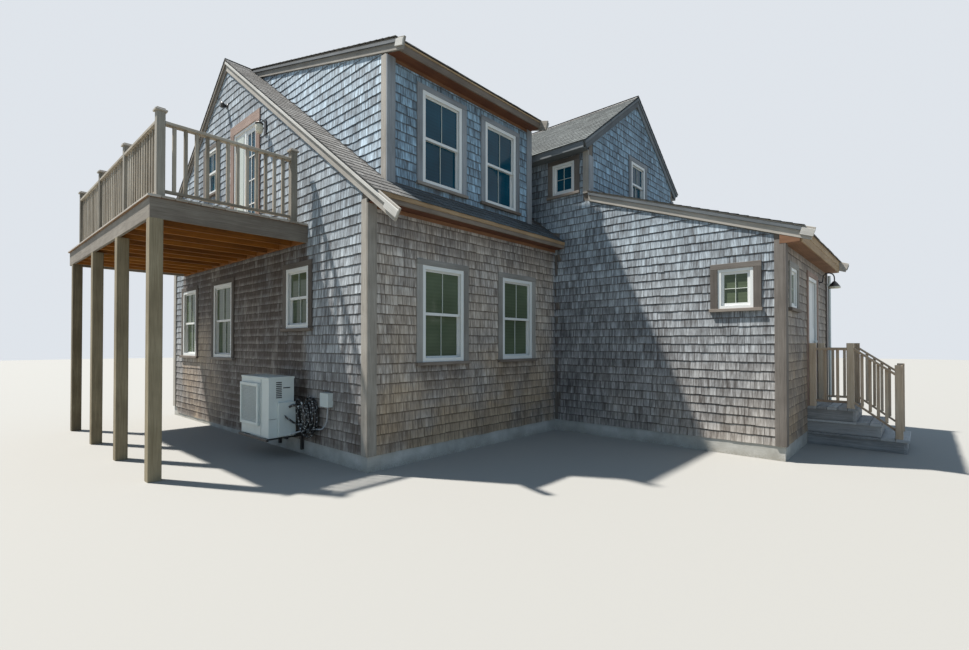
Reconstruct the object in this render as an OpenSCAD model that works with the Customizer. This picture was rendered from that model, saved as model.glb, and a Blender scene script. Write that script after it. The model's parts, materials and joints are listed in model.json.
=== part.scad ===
// Shingled beach house with a west deck, a shed dormer, a gabled wing and a lean-to entry
// Millimetres, ground at zero height, origin at the outer south-west corner of the main wing
// X runs along the south front, Y runs north along the west wall, Z is up

/* [Main wing] */
// Length of the main wing from the west wall to the face of the gabled wing
main_length = 4110; // [3900:10:4400]
// Depth of the main wing from the south wall to the north wall
main_depth = 7470; // [7200:10:7800]
// Distance of the main ridge from the south wall
main_ridge_y = 4500; // [4350:10:4650]
// Height of the main ridge
main_ridge_z = 6870; // [6750:10:7000]
// Height of the roof surface over the south wall face
main_plate_z = 3620; // [3560:10:3680]
// Height of the roof surface over the north wall face
main_north_plate_z = 4652; // [4600:2:4720]
// Overhang of every eave
eave_over = 190; // [150:5:230]

/* [Gabled wing] */
// Width of the gabled wing
wing_width = 3840; // [3700:10:4000]
// Distance the gable stands south of the main south wall
wing_forward = 730; // [650:10:800]
// Drop of the wing ridge below the main ridge
wing_drop = 190; // [100:10:260]
// Height of the wing roof surface at its eave edge
wing_eave_z = 5160; // [5100:10:5220]

/* [Lean-to] */
// Depth of the lean-to in front of the gable
lean_depth = 2974; // [2850:2:3100]
// Height of the lean-to roof surface against the gable
lean_top_z = 4288; // [4240:4:4330]
// Height of the lean-to roof surface at its eave edge
lean_eave_z = 3175; // [3140:5:3210]

/* [Dormer] */
// Distance of the dormer face from the south wall
dormer_set = 220; // [160:10:300]
// Distance of the dormer's west side from the west wall
dormer_x = 453; // [420:3:510]
// Width of the dormer
dormer_width = 3187; // [3100:1:3230]
// Height of the dormer roof surface at its front edge
dormer_eave_z = 5615; // [5560:5:5660]

/* [Deck] */
// Distance the deck stands out from the west wall
deck_out = 1930; // [1800:10:2100]
// Distance of the deck's south edge from the south wall
deck_south = 1510; // [1400:10:1600]
// Distance of the deck's north edge from the north wall
deck_north_in = 680; // [580:10:780]
// Height of the walking surface of the deck
deck_z = 3325; // [3280:5:3360]

/* [Entry] */
// Distance of the steps' west side from the face of the gabled wing
steps_x = 1690; // [1650:5:1740]
// Width of the steps
steps_width = 1000; // [960:5:1040]
// Height of one riser of the steps
riser = 200; // [195:1:205]
// Opening angle of the entry door in a preview
entry_open = 0; // [0:1:90]

/* [Hidden] */
$fn = 24;
e = 1;

// Play between a sloping underside and the wall or trim that meets it
seat = 0.1;

// Shell
wall_t = 150;
roof_t = 130;
found_h = 200;
found_t = 250;
found_drop = 127;
drop_y = 3300;
floor_t = 240;
floor_z = 620;
upper_t = 280;
upper_z = deck_z + 15;
lip = 50;

// Boards of the roof edges and corners
trim_t = 25;
tail = 465;
dormer_tail = 200;
lean_tail = 175;
rake_d = 165;
rake_t = 30;
crown_t = 22;
crown_top = 30;
crown_d = 42;
block_d = 95;
block_l = 230;
short_block_l = 150;
fascia_t = 25;
soffit_t = 15;
frieze_h = 75;
rake_drop = 200;
lean_fascia_h = 220;
board_w = 115;

// Main roof planes
pitch_s = (main_ridge_z - main_plate_z) / main_ridge_y;
pitch_n = (main_ridge_z - main_north_plate_z) / (main_depth - main_ridge_y);
function south_z(y) = main_plate_z + pitch_s * y;
function north_z(y) = main_ridge_z - pitch_n * (y - main_ridge_y);

// Wing roof planes
wing_x = main_length;
wing_end = wing_x + wing_width;
wing_mid = wing_x + wing_width / 2;
wing_ridge_z = main_ridge_z - wing_drop;
wing_eave_x = wing_x - eave_over;
pitch_w = (wing_ridge_z - wing_eave_z) / (wing_mid - wing_eave_x);
function west_z(x) = wing_eave_z + pitch_w * (x - wing_eave_x);
function east_z(x) = wing_eave_z + pitch_w * (wing_end + eave_over - x);

// Lean-to roof plane
lean_y = -wing_forward - lean_depth;
lean_eave_y = lean_y - eave_over;
pitch_l = (lean_top_z - lean_eave_z) / (-wing_forward - lean_eave_y);
function lean_z(y) = lean_top_z + pitch_l * (y + wing_forward);

// Dormer roof plane, which meets the main roof again at its ridge
dormer_front = dormer_set - eave_over;
dormer_end = dormer_x + dormer_width;
pitch_d = (main_ridge_z - dormer_eave_z) / (main_ridge_y - dormer_front);
function dormer_z(y) = dormer_eave_z + pitch_d * (y - dormer_front);

// Heights of the soffits
south_soffit = south_z(-eave_over) - roof_t - soffit_t;
north_soffit = north_z(main_depth + eave_over) - roof_t - soffit_t;
wing_soffit = wing_eave_z - roof_t - soffit_t;
dormer_soffit = dormer_eave_z - roof_t - soffit_t;
lean_soffit = lean_eave_z - lean_fascia_h;

// Place where the wing's roof leaves the outer faces of its walls for the valleys
valley_y = (west_z(wing_x) - main_plate_z) / pitch_s;

// Place where the underside of the dormer roof meets the main roof surface
dormer_meet = (dormer_eave_z - roof_t - pitch_d * dormer_front - main_plate_z) / (pitch_s - pitch_d);

// Heights shared by the windows of a storey
sill_low = 1342;
sill_up = 3490;
win_w = 800;
win_h = 1335;

// Windows of the south wall
south_win_1 = 1272;
south_win_2 = 2975;

// Windows of the west wall
west_win_h = 1370;
west_win_1 = main_depth - 1005;
west_win_2 = 4648;
west_win_2_w = 880;
west_win_3 = 1780;
west_win_3_w = 680;
west_win_3_h = 895;
west_win_3_sill = 1824;
west_up_win = main_ridge_y + 750;
west_up_w = 640;
west_up_h = 885;
west_up_sill = 4515;

// Windows of the dormer
dormer_win_1 = dormer_x + 1003;
dormer_win_2 = dormer_x + 2347;
dormer_sill = 3903;

// Small windows of the wing and the lean-to
small_win = 470;
small_win_h = 575;
small_sill = 2104;
small_low_y = lean_y + 609;
small_up_y = -200;
small_up_sill = 4341;
lean_win_x = wing_x + 590;

// Window of the gable
gable_win_x = wing_mid + 50;
gable_win_w = 645;
gable_win_h = 870;
gable_sill = 4425;

// Windows of the sides that no picture shows
east_win_1 = lean_y + 1504;
east_win_2 = 1900;
east_win_3 = main_depth - 2170;
east_up_h = 1000;
north_win_1 = 1300;
north_win_2 = 2900;
north_win_3 = wing_mid;
north_up_x = 2055;
north_up_h = 700;

// Section of the window frames, sashes and casings
frame_w = 42;
frame_out = 12;
frame_in = 90;
sash_w = 38;
sash_t = 30;
pane_t = 6;
case_w = 102;
case_top = 80;
sill_h = 45;
sill_out = 52;

// Windows as centre along the wall, sill height, width, height and 1 for two sashes
south_wins = [[south_win_1, sill_low, win_w, win_h, 1],
    [south_win_2, sill_low, win_w, win_h, 1]];
west_wins = [[west_win_1, sill_low, win_w, west_win_h, 1],
    [west_win_2, sill_low, west_win_2_w, west_win_h, 1],
    [west_win_3, west_win_3_sill, west_win_3_w, west_win_3_h, 1],
    [west_up_win, west_up_sill, west_up_w, west_up_h, 1]];
dormer_wins = [[dormer_win_1, dormer_sill, win_w, win_h, 1],
    [dormer_win_2, dormer_sill, win_w, win_h, 1]];
wing_west_wins = [[small_low_y, small_sill, small_win, small_win_h, 0],
    [small_up_y, small_up_sill, small_win, small_win_h, 0]];
gable_wins = [[gable_win_x, gable_sill, gable_win_w, gable_win_h, 1]];
lean_wins = [[lean_win_x, small_sill, small_win, small_win_h, 0]];
east_wins = [[east_win_1, sill_low, win_w, win_h, 1],
    [east_win_2, sill_low, win_w, win_h, 1],
    [east_win_3, sill_low, win_w, win_h, 1],
    [east_win_2, sill_up, win_w, east_up_h, 1],
    [east_win_3, sill_up, win_w, east_up_h, 1]];
north_wins = [[north_win_1, sill_low, win_w, win_h, 1],
    [north_win_2, sill_low, win_w, win_h, 1],
    [north_win_3, sill_low, win_w, win_h, 1],
    [north_up_x, sill_up, win_w, north_up_h, 0],
    [north_win_3, sill_up, win_w, north_up_h, 0]];

// Door parts
door_frame = 40;
leaf_t = 44;
door_gap = 5;
stile = 90;
kick = 260;

// Upper door to the deck
deck_door_y = 3680;
deck_door_w = 925;
deck_door_h = 2030;
deck_case_w = 150;
deck_case_top = 165;
mid_stile = 60;
deck_leaf_h = deck_door_h - door_frame;
deck_half_w = (deck_door_w - 2 * door_frame - mid_stile) / 2;

// Entry door
entry_sill = 3 * riser;
entry_x = wing_x + steps_x + 85;
entry_w = 850;
entry_h = entry_sill + 2100;
entry_leaf_w = 760;
entry_leaf_z = entry_sill + 32;
entry_leaf_h = 2020;
panel_in = 117;
panel_cut = 8;
stop_w = 15;
stop_t = 20;
hinge_x = entry_x + door_frame;
hinge_y = lean_y + 63;
hinge_r = 10;
hinge_h = 100;
hinge_play = 0.3;
hinge_n = 3;
far_gap = 8;
knob_r = 26;
knob_z = 1000;
knob_in = 70;
knob_stem_r = 9;

// Deck
deck_post = 140;
deck_post_2 = 1630;
deck_post_3 = 3240;
deck_post_4_in = 280;
deck_north = main_depth - deck_north_in;
deck_post_ys = [deck_south + deck_post / 2, deck_south + deck_post_2, deck_south + deck_post_3,
    deck_north - deck_post_4_in];
deck_board_t = 30;
deck_rim_h = 241;
deck_lip = 25;
joist_t = 38;
joist_n = 12;

// Railings
rail_post = 90;
post_h = 1005;
cap_out = 18;
cap_h = 42;
rail_t = 36;
bal = 38;
bal_pitch = 119;
rail_top = 900;
rail_low = 90;
rail_in = 70;
rail_south_in = 65;
rail_2 = 1600;
rail_3 = 3170;
rail_north_in = 490;
wall_post_x = 185;
rail_x = -deck_out + rail_in + rail_post / 2;
rail_ys = [deck_south + rail_south_in, deck_south + rail_2, deck_south + rail_3, deck_north - rail_north_in];

// Steps
tread_t = 38;
tread_d = 295;
landing_d = 626;
step_frame_t = 38;
newel_h = 1080;
landing_rail = 930;
landing_low = 110;
landing_post_in = 67;
wall_post_in = 75;
landing_bal_n = 2;
slope_bal_n = 4;
steps_left = wing_x + steps_x;
steps_right = steps_left + steps_width;
landing_y = lean_y - landing_d;
newel_y = landing_y - 2 * tread_d + rail_post;
landing_post_y = landing_y + landing_post_in;
wall_post_y = lean_y - wall_post_in;

// Condenser
ac_out = 550;
ac_in = 195;
ac_y = deck_south - 10;
ac_w = 890;
ac_z = 306;
ac_h = 825;
grille_y = 290;
grille_z = 440;
grille_r = 265;
grille_d = 12;
hub_r = 70;
cover_in = 120;
cover_d = 55;
cover_z = 20;
cover_h = 460;
arm_h = 40;
arm_in = 80;
arm_z = ac_z - arm_h;

// Box and pipe on the walls
disc_y = 790;
disc_w = 210;
disc_z = 745;
disc_h = 185;
disc_d = 80;
pipe_r = 24;
pipe_in = 45;
pipe_off = 35;
pipe_top = 2900;

// Lights
lamp_r = 60;
lamp_bar = 35;
light_y = deck_door_y - 820;
light_drop = 686;
light_z = south_z(light_y) - light_drop;
flood_y = main_ridge_y;
flood_z = main_ridge_z - 920;
barn_x = entry_x + entry_w + 375;
barn_z = entry_h - 120;
barn_out = 230;
barn_r = 130;
barn_h = 70;
neck_r = 11;
neck_h = 280;
neck_foot = 120;
neck_in = 60;

cedar = [0.62, 0.59, 0.58];
trimcol = [0.66, 0.6, 0.53];
white = [0.92, 0.93, 0.92];
roofcol = [0.45, 0.43, 0.4];
wood = [0.5, 0.43, 0.35];
concrete = [0.7, 0.69, 0.66];

// Box between two corners
module span(a, b) {
    translate([min(a[0], b[0]), min(a[1], b[1]), min(a[2], b[2])])
        cube([abs(b[0] - a[0]), abs(b[1] - a[1]), abs(b[2] - a[2])]);
}

// Side profile drawn as depth and height, swept along X
module along_x(x0, x1) {
    translate([x0, 0, 0]) rotate([90, 0, 90]) linear_extrude(x1 - x0) children();
}

// Front profile drawn as width and height, swept along Y
module along_y(y0, y1) {
    translate([0, y1, 0]) rotate([90, 0, 0]) linear_extrude(y1 - y0) children();
}

// Turns from window axes to the four walls, outside at negative Y
module on_south(face) { translate([0, face, 0]) children(); }
module on_west(face) { translate([face, 0, 0]) rotate([0, 0, -90]) children(); }
module on_east(face) { translate([face, 0, 0]) rotate([0, 0, 90]) children(); }
module on_north(face) { translate([0, face, 0]) rotate([0, 0, 180]) children(); }

// Rough opening of one window
module opening(c, w) {
    translate([c - w[2] / 2, -e, w[1]]) cube([w[2], wall_t + 2 * e, w[3]]);
}

// Jambs and sashes of one window
module frame_unit(c, w) {
    inner_w = w[2] - 2 * frame_w;
    inner_h = w[3] - 2 * frame_w;
    meet = w[3] / 2;
    translate([c - w[2] / 2, 0, w[1]]) {
        difference() {
            translate([0, -frame_out, 0]) cube([w[2], frame_out + frame_in, w[3]]);
            translate([frame_w, -frame_out - e, frame_w]) cube([inner_w, frame_out + frame_in + 2 * e, inner_h]);
        }
        if (w[4] == 1) {
            sash(frame_w, frame_out, meet - sash_w / 2, inner_w, w[3] - frame_w - meet + sash_w / 2);
            sash(frame_w, frame_out + sash_t, frame_w, inner_w, meet + sash_w / 2 - frame_w);
        } else {
            sash(frame_w, frame_out, frame_w, inner_w, inner_h);
        }
    }
}

// One sash ring
module sash(x, y, z, w, h) {
    difference() {
        translate([x, y, z]) cube([w, sash_t, h]);
        translate([x + sash_w, y - e, z + sash_w]) cube([w - 2 * sash_w, sash_t + 2 * e, h - 2 * sash_w]);
    }
}

// Panes of one window
module pane_unit(c, w) {
    inner_w = w[2] - 2 * frame_w - 2 * sash_w;
    meet = w[3] / 2;
    translate([c - w[2] / 2 + frame_w + sash_w, 0, w[1]]) {
        if (w[4] == 1) {
            translate([0, frame_out + sash_t / 2, meet + sash_w / 2])
                cube([inner_w, pane_t, w[3] - frame_w - meet - sash_w * 3 / 2]);
            translate([0, frame_out + sash_t * 3 / 2, frame_w + sash_w])
                cube([inner_w, pane_t, meet - sash_w * 3 / 2 - frame_w]);
        } else {
            translate([0, frame_out + sash_t / 2, frame_w + sash_w])
                cube([inner_w, pane_t, w[3] - 2 * frame_w - 2 * sash_w]);
        }
    }
}

// Boards round one window with its sill
module casing_unit(c, w) {
    translate([c - w[2] / 2, 0, w[1]]) difference() {
        union() {
            translate([-case_w, -trim_t, 0]) cube([w[2] + 2 * case_w, trim_t, w[3] + case_top]);
            translate([-case_w - trim_t / 2, -sill_out, -sill_h]) cube([w[2] + 2 * case_w + trim_t, sill_out,
                sill_h]);
        }
        translate([0, -trim_t - e, 0]) cube([w[2], trim_t + 2 * e, w[3]]);
    }
}

// Stands in for the gabled wing and its roof when the main roof is cut to it
module wing_solid() {
    along_y(-wing_forward - lip, main_ridge_y + lip)
        polygon([[wing_x, 0], [wing_x, west_z(wing_x) - roof_t], [wing_eave_x, wing_eave_z - roof_t],
            [wing_eave_x, wing_eave_z],
            [wing_mid, wing_ridge_z], [wing_end + eave_over, wing_eave_z], [wing_end + eave_over, 0]]);
}

// Everything under the main south roof, down from a given depth below its surface
module under_south(x0, x1, drop) {
    along_x(x0, x1) polygon([[-tail, 0], [main_ridge_y + e, 0],
        [main_ridge_y + e, south_z(main_ridge_y + e) - drop], [-tail, south_z(-tail) - drop]]);
}

module foundation() {
    color(concrete) difference() {
        union() {
            linear_extrude(found_h) difference() {
                polygon([[0, 0], [wing_x, 0], [wing_x, lean_y], [wing_end, lean_y],
                    [wing_end, main_depth], [0, main_depth]]);
                polygon([[found_t, found_t], [wing_x + found_t, found_t], [wing_x + found_t, lean_y + found_t],
                    [wing_end - found_t, lean_y + found_t], [wing_end - found_t, main_depth - found_t],
                        [found_t, main_depth - found_t]]);
            }
            span([entry_x, lean_y, 0], [entry_x + entry_w, lean_y + wall_t, entry_sill]);
        }
        span([-e, drop_y, found_h - found_drop], [found_t + e, main_depth - found_t, found_h + e]);
    }
}

module ground_floor() {
    color(wood) translate([0, 0, floor_z - floor_t]) linear_extrude(floor_t)
        polygon([[wall_t, wall_t], [wing_x + wall_t, wall_t], [wing_x + wall_t, lean_y + wall_t],
            [wing_end - wall_t, lean_y + wall_t],
            [wing_end - wall_t, main_depth - wall_t], [wall_t, main_depth - wall_t]]);
}

module upper_floor() {
    color(wood) {
        translate([0, 0, upper_z - upper_t]) linear_extrude(upper_t) polygon([[wall_t, wall_t],
            [wing_x, wall_t], [wing_x, valley_y],
            [wing_x + wall_t, valley_y], [wing_x + wall_t, wall_t - wing_forward],
                [wing_end - wall_t, wall_t - wing_forward],
            [wing_end - wall_t, main_depth - wall_t], [wall_t, main_depth - wall_t]]);
    }
}

module main_west_wall() {
    color(cedar) difference() {
        along_x(0, wall_t) polygon([[0, found_h], [drop_y, found_h], [drop_y, found_h - found_drop],
            [main_depth - found_t, found_h - found_drop], [main_depth - found_t, found_h], [main_depth, found_h],
            [main_depth, north_z(main_depth) - roof_t - seat], [main_ridge_y, main_ridge_z - roof_t - seat],
            [0, main_plate_z - roof_t - seat]]);
        on_west(0) for (w = west_wins) opening(-w[0], w);
        span([-e, deck_door_y - deck_door_w / 2, deck_z],
            [wall_t + e, deck_door_y + deck_door_w / 2, deck_z + deck_door_h]);
    }
}

module main_south_wall() {
    color(cedar) difference() {
        along_x(wall_t, wing_x) polygon([[0, found_h], [wall_t, found_h],
            [wall_t, south_z(wall_t) - roof_t - seat],
            [0, south_z(0) - roof_t - seat]]);
        on_south(0) for (w = south_wins) opening(w[0], w);
    }
}

module main_north_wall() {
    color(cedar) difference() {
        along_x(wall_t, wing_end - wall_t) polygon([[main_depth - wall_t, found_h], [main_depth, found_h],
            [main_depth, north_z(main_depth) - roof_t - seat],
                [main_depth - wall_t, north_z(main_depth - wall_t) - roof_t - seat]]);
        on_north(main_depth) for (w = north_wins) opening(-w[0], w);
    }
}

module wing_west_wall() {
    color(cedar) difference() {
        intersection() {
            along_x(wing_x, wing_x + wall_t) polygon([[lean_y, found_h], [wall_t, found_h],
                [wall_t, upper_z - upper_t],
                [valley_y, upper_z - upper_t], [valley_y, wing_ridge_z], [-wing_forward, wing_ridge_z],
                [-wing_forward, lean_z(-wing_forward) - roof_t - seat],
                    [lean_y, lean_z(lean_y) - roof_t - seat]]);
            along_y(lean_y, valley_y) polygon([[wing_x, 0], [wing_x + wall_t, 0],
                [wing_x + wall_t, west_z(wing_x + wall_t) - roof_t - seat],
                    [wing_x, west_z(wing_x) - roof_t - seat]]);
        }
        on_west(wing_x) for (w = wing_west_wins) opening(-w[0], w);
    }
}

module wing_east_wall() {
    color(cedar) difference() {
        union() {
            intersection() {
                along_x(wing_end - wall_t, wing_end) polygon([[lean_y, found_h], [main_ridge_y, found_h],
                    [main_ridge_y, main_ridge_z - roof_t], [-wing_forward, main_ridge_z - roof_t],
                    [-wing_forward, lean_z(-wing_forward) - roof_t - seat],
                        [lean_y, lean_z(lean_y) - roof_t - seat]]);
                along_y(lean_y, main_ridge_y) polygon([[wing_end - wall_t, 0], [wing_end, 0],
                    [wing_end, east_z(wing_end) - roof_t - seat],
                    [wing_end - wall_t, east_z(wing_end - wall_t) - roof_t - seat]]);
            }
            along_x(wing_end - wall_t, wing_end) polygon([[valley_y, found_h], [main_depth, found_h],
                [main_depth, north_z(main_depth) - roof_t - seat], [main_ridge_y, main_ridge_z - roof_t - seat],
                [valley_y, south_z(valley_y) - roof_t - seat]]);
        }
        on_east(wing_end) for (w = east_wins) opening(w[0], w);
    }
}

module wing_gable_wall() {
    color(cedar) difference() {
        along_y(-wing_forward, wall_t - wing_forward) polygon([[wing_x + wall_t, upper_z - upper_t],
            [wing_end - wall_t, upper_z - upper_t],
            [wing_end - wall_t, east_z(wing_end - wall_t) - roof_t - seat],
                [wing_mid, wing_ridge_z - roof_t - seat],
            [wing_x + wall_t, west_z(wing_x + wall_t) - roof_t - seat]]);
        on_south(-wing_forward) for (w = gable_wins) opening(w[0], w);
    }
}

// Side profile of the lean-to's south wall
module lean_shape(low) {
    polygon([[lean_y, low], [lean_y + wall_t, low], [lean_y + wall_t, lean_z(lean_y + wall_t) - roof_t - seat],
        [lean_y, lean_z(lean_y) - roof_t - seat]]);
}

module lean_to_wall_left() {
    color(cedar) difference() {
        along_x(wing_x + wall_t, entry_x) lean_shape(found_h);
        on_south(lean_y) for (w = lean_wins) opening(w[0], w);
    }
}

module lean_to_wall_right() {
    color(cedar) along_x(entry_x + entry_w, wing_end - wall_t) lean_shape(found_h);
}

module lean_to_wall_over_door() {
    color(cedar) along_x(entry_x, entry_x + entry_w) lean_shape(entry_h);
}

module dormer_front_wall() {
    color(cedar) difference() {
        along_x(dormer_x, dormer_end) polygon([[dormer_set, south_z(dormer_set) + seat],
            [dormer_set + wall_t, south_z(dormer_set + wall_t) + seat],
            [dormer_set + wall_t, dormer_z(dormer_set + wall_t) - roof_t - seat],
                [dormer_set, dormer_z(dormer_set) - roof_t - seat]]);
        on_south(dormer_set) for (w = dormer_wins) opening(w[0], w);
    }
}

// Side profile of one dormer side wall
module cheek_shape() {
    polygon([[dormer_set + wall_t, south_z(dormer_set + wall_t) + seat],
        [dormer_meet - e, south_z(dormer_meet - e) + seat],
        [dormer_meet - e, dormer_z(dormer_meet - e) - roof_t - seat],
        [dormer_set + wall_t, dormer_z(dormer_set + wall_t) - roof_t - seat]]);
}

module dormer_side_walls() {
    color(cedar) {
        along_x(dormer_x, dormer_x + wall_t) cheek_shape();
        along_x(dormer_end - wall_t, dormer_end) cheek_shape();
    }
}

module main_roof_south() {
    color(roofcol) difference() {
        along_x(0, wing_end) polygon([[-eave_over, south_z(-eave_over) - roof_t],
            [main_ridge_y, main_ridge_z - roof_t],
            [main_ridge_y, main_ridge_z], [-eave_over, south_z(-eave_over)]]);
        wing_solid();
        span([dormer_x + wall_t, dormer_set + wall_t, main_plate_z - roof_t],
            [dormer_end - wall_t, dormer_meet, main_ridge_z]);
    }
}

module main_roof_north() {
    color(roofcol) along_x(0, wing_end) polygon([[main_ridge_y, main_ridge_z - roof_t],
        [main_depth + eave_over, north_z(main_depth + eave_over) - roof_t],
        [main_depth + eave_over, north_z(main_depth + eave_over)], [main_ridge_y, main_ridge_z]]);
}

module dormer_roof() {
    color(roofcol) along_x(dormer_x, dormer_end) polygon([[dormer_front, dormer_eave_z - roof_t],
        [dormer_meet, south_z(dormer_meet) + seat],
        [main_ridge_y, main_ridge_z + seat], [dormer_front, dormer_eave_z]]);
}

module wing_roof_west() {
    color(roofcol) difference() {
        along_y(-wing_forward, main_ridge_y) polygon([[wing_eave_x, wing_eave_z - roof_t],
            [wing_mid, wing_ridge_z - roof_t], [wing_mid, wing_ridge_z], [wing_eave_x, wing_eave_z]]);
        under_south(wing_eave_x - e, wing_mid + e, roof_t);
    }
}

module wing_roof_east() {
    color(roofcol) difference() {
        along_y(-wing_forward, main_ridge_y) polygon([[wing_mid, wing_ridge_z - roof_t],
            [wing_end + eave_over, wing_eave_z - roof_t], [wing_end + eave_over, wing_eave_z],
                [wing_mid, wing_ridge_z]]);
        under_south(wing_mid - e, wing_end, roof_t);
        span([wing_end, valley_y, 0], [wing_end + eave_over + e, main_ridge_y + e, wing_ridge_z]);
    }
}

module lean_to_roof() {
    color(roofcol) along_x(wing_x, wing_end) polygon([[lean_eave_y, lean_eave_z - roof_t],
        [-wing_forward, lean_top_z - roof_t], [-wing_forward, lean_top_z], [lean_eave_y, lean_eave_z]]);
}

// Sloping board with a square-cut tail, drawn from its low tip to its high end
module rake_shape(y0, z0, y1, z1, d) {
    run = y1 - y0;
    rise = z1 - z0;
    len = sqrt(run * run + rise * rise);
    dv = d * len / abs(run);
    polygon([[y0, z0], [y1, z1], [y1, z1 - dv], [y0 + d * rise / len * sign(run), z0 - d * abs(run) / len]]);
}

// Rake board with its crown strip and a deeper tail block, drawn as a side profile sweep
module rake_set(a, b, y0, z0, y1, z1, block) {
    dir = sign(y1 - y0);
    slope = (z1 - z0) / (y1 - y0);
    along_x(min(a, b), max(a, b)) rake_shape(y0, z0, y1, z1, rake_d);
    along_x(min(b, b + (b - a) * crown_t / rake_t), max(b, b + (b - a) * crown_t / rake_t)) {
        rake_shape(y0, z0 - crown_top, y1, z1 - crown_top, crown_d);
        rake_shape(y0, z0 - crown_top, y0 + dir * block, z0 + dir * block * slope - crown_top, block_d);
    }
}

module main_roof_trim() {
    sy = -eave_over - tail;
    ny = main_depth + eave_over + tail;
    color(trimcol) {
        rake_set(0, -rake_t, sy, south_z(sy), main_ridge_y, main_ridge_z, block_l);
        rake_set(0, -rake_t, ny, north_z(ny), main_ridge_y, main_ridge_z, block_l);
        rake_set(wing_end, wing_end + rake_t, ny, north_z(ny), main_ridge_y, main_ridge_z, block_l);
        along_x(wing_end, wing_end + rake_t) polygon([[valley_y, south_z(valley_y)], [main_ridge_y, main_ridge_z],
            [main_ridge_y, main_ridge_z - rake_drop], [valley_y, south_z(valley_y) - rake_drop]]);
        span([0, -eave_over - fascia_t, south_soffit], [wing_x, -eave_over, south_z(-eave_over - fascia_t)]);
        span([0, -eave_over, south_soffit], [wing_x, 0, south_soffit + soffit_t]);
        span([board_w, -trim_t, south_soffit - frieze_h], [wing_x, 0, south_soffit]);
        span([0, main_depth + eave_over, north_soffit],
            [wing_end, main_depth + eave_over + fascia_t, north_z(main_depth + eave_over + fascia_t)]);
        span([0, main_depth, north_soffit], [wing_end, main_depth + eave_over, north_soffit + soffit_t]);
    }
}

module dormer_trim() {
    dy = dormer_front - dormer_tail;
    color(trimcol) {
        difference() {
            union() {
                rake_set(dormer_x, dormer_x - rake_t, dy, dormer_z(dy), main_ridge_y, main_ridge_z,
                    short_block_l);
                rake_set(dormer_end, dormer_end + rake_t, dy, dormer_z(dy), main_ridge_y, main_ridge_z,
                    short_block_l);
            }
            under_south(dormer_x - rake_t - crown_t - e, dormer_end + rake_t + crown_t + e, -seat);
        }
        span([dormer_x, dormer_front - fascia_t, dormer_soffit],
            [dormer_end, dormer_front, dormer_z(dormer_front - fascia_t)]);
        span([dormer_x, dormer_front, dormer_soffit], [dormer_end, dormer_set, dormer_eave_z - roof_t]);
    }
}

module wing_roof_trim() {
    wx = wing_eave_x - fascia_t;
    ex = wing_end + eave_over + fascia_t;
    color(trimcol) {
        along_y(-wing_forward - rake_t, -wing_forward) {
            rake_shape(wx, west_z(wx), wing_mid, wing_ridge_z, rake_d);
            rake_shape(ex, east_z(ex), wing_mid, wing_ridge_z, rake_d);
        }
        along_y(-wing_forward - rake_t - crown_t, -wing_forward - rake_t) {
            rake_shape(wx, west_z(wx) - crown_top, wing_mid, wing_ridge_z - crown_top, crown_d);
            rake_shape(ex, east_z(ex) - crown_top, wing_mid, wing_ridge_z - crown_top, crown_d);
        }
        difference() {
            union() {
                span([wx, -wing_forward, wing_soffit], [wing_eave_x, main_ridge_y, west_z(wx)]);
                span([wing_eave_x, -wing_forward, wing_soffit], [wing_x, main_ridge_y, wing_soffit + soffit_t]);
            }
            under_south(wx - e, wing_x + e, -seat);
        }
        span([wing_end + eave_over, -wing_forward, wing_soffit], [ex, valley_y, east_z(ex)]);
        span([wing_end, -wing_forward, wing_soffit], [wing_end + eave_over, valley_y, wing_soffit + soffit_t]);
    }
}

module lean_to_trim() {
    ly = lean_eave_y - lean_tail;
    color(trimcol) {
        rake_set(wing_x, wing_x - rake_t, ly, lean_z(ly), -wing_forward, lean_top_z, short_block_l);
        rake_set(wing_end, wing_end + rake_t, ly, lean_z(ly), -wing_forward, lean_top_z, short_block_l);
        span([wing_x, lean_eave_y - fascia_t, lean_soffit],
            [wing_end, lean_eave_y, lean_z(lean_eave_y - fascia_t)]);
        span([wing_x, lean_eave_y, lean_soffit], [wing_end, lean_y, lean_soffit + soffit_t]);
    }
}

// Corner board with a leg on each wall, the corner at the local origin and the walls along positive X and Y
module corner_unit(z0, front, side) {
    translate([-trim_t, -trim_t, z0]) cube([board_w + trim_t, trim_t, front - z0]);
    translate([-trim_t, 0, z0]) cube([trim_t, board_w, side - z0]);
}

// The same with its long leg on the other wall
module corner_turned(z0, front, side) {
    mirror([1, 0, 0]) corner_unit(z0, front, side);
}

module corner_boards() {
    rake_v = rake_drop + trim_t;
    lean_side = lean_z(lean_y) - rake_v;
    color(trimcol) {
        corner_unit(found_h, south_soffit, south_z(0) - rake_v);
        translate([0, main_depth, 0]) mirror([0, 1, 0]) corner_unit(found_h, north_soffit,
            north_z(main_depth) - rake_v);
        translate([wing_x, lean_y, 0]) corner_unit(found_h, lean_soffit, lean_side);
        translate([wing_end, lean_y, 0]) corner_turned(found_h, lean_soffit, lean_side);
        translate([wing_end, main_depth, 0]) mirror([0, 1, 0]) corner_turned(found_h, north_soffit,
            north_z(main_depth) - rake_v);
        difference() {
            union() {
                translate([wing_x, -wing_forward, 0]) corner_unit(lean_top_z - wall_t, wing_soffit, wing_soffit);
                translate([wing_end, -wing_forward, 0]) corner_turned(lean_top_z - wall_t, wing_soffit,
                    wing_soffit);
            }
            lean_below();
            wing_rake_below();
        }
        difference() {
            union() {
                translate([dormer_x, dormer_set, 0]) corner_unit(main_plate_z, dormer_soffit, dormer_soffit);
                translate([dormer_end, dormer_set, 0]) corner_turned(main_plate_z, dormer_soffit, dormer_soffit);
            }
            under_south(0, wing_x, 0);
        }
    }
}

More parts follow.
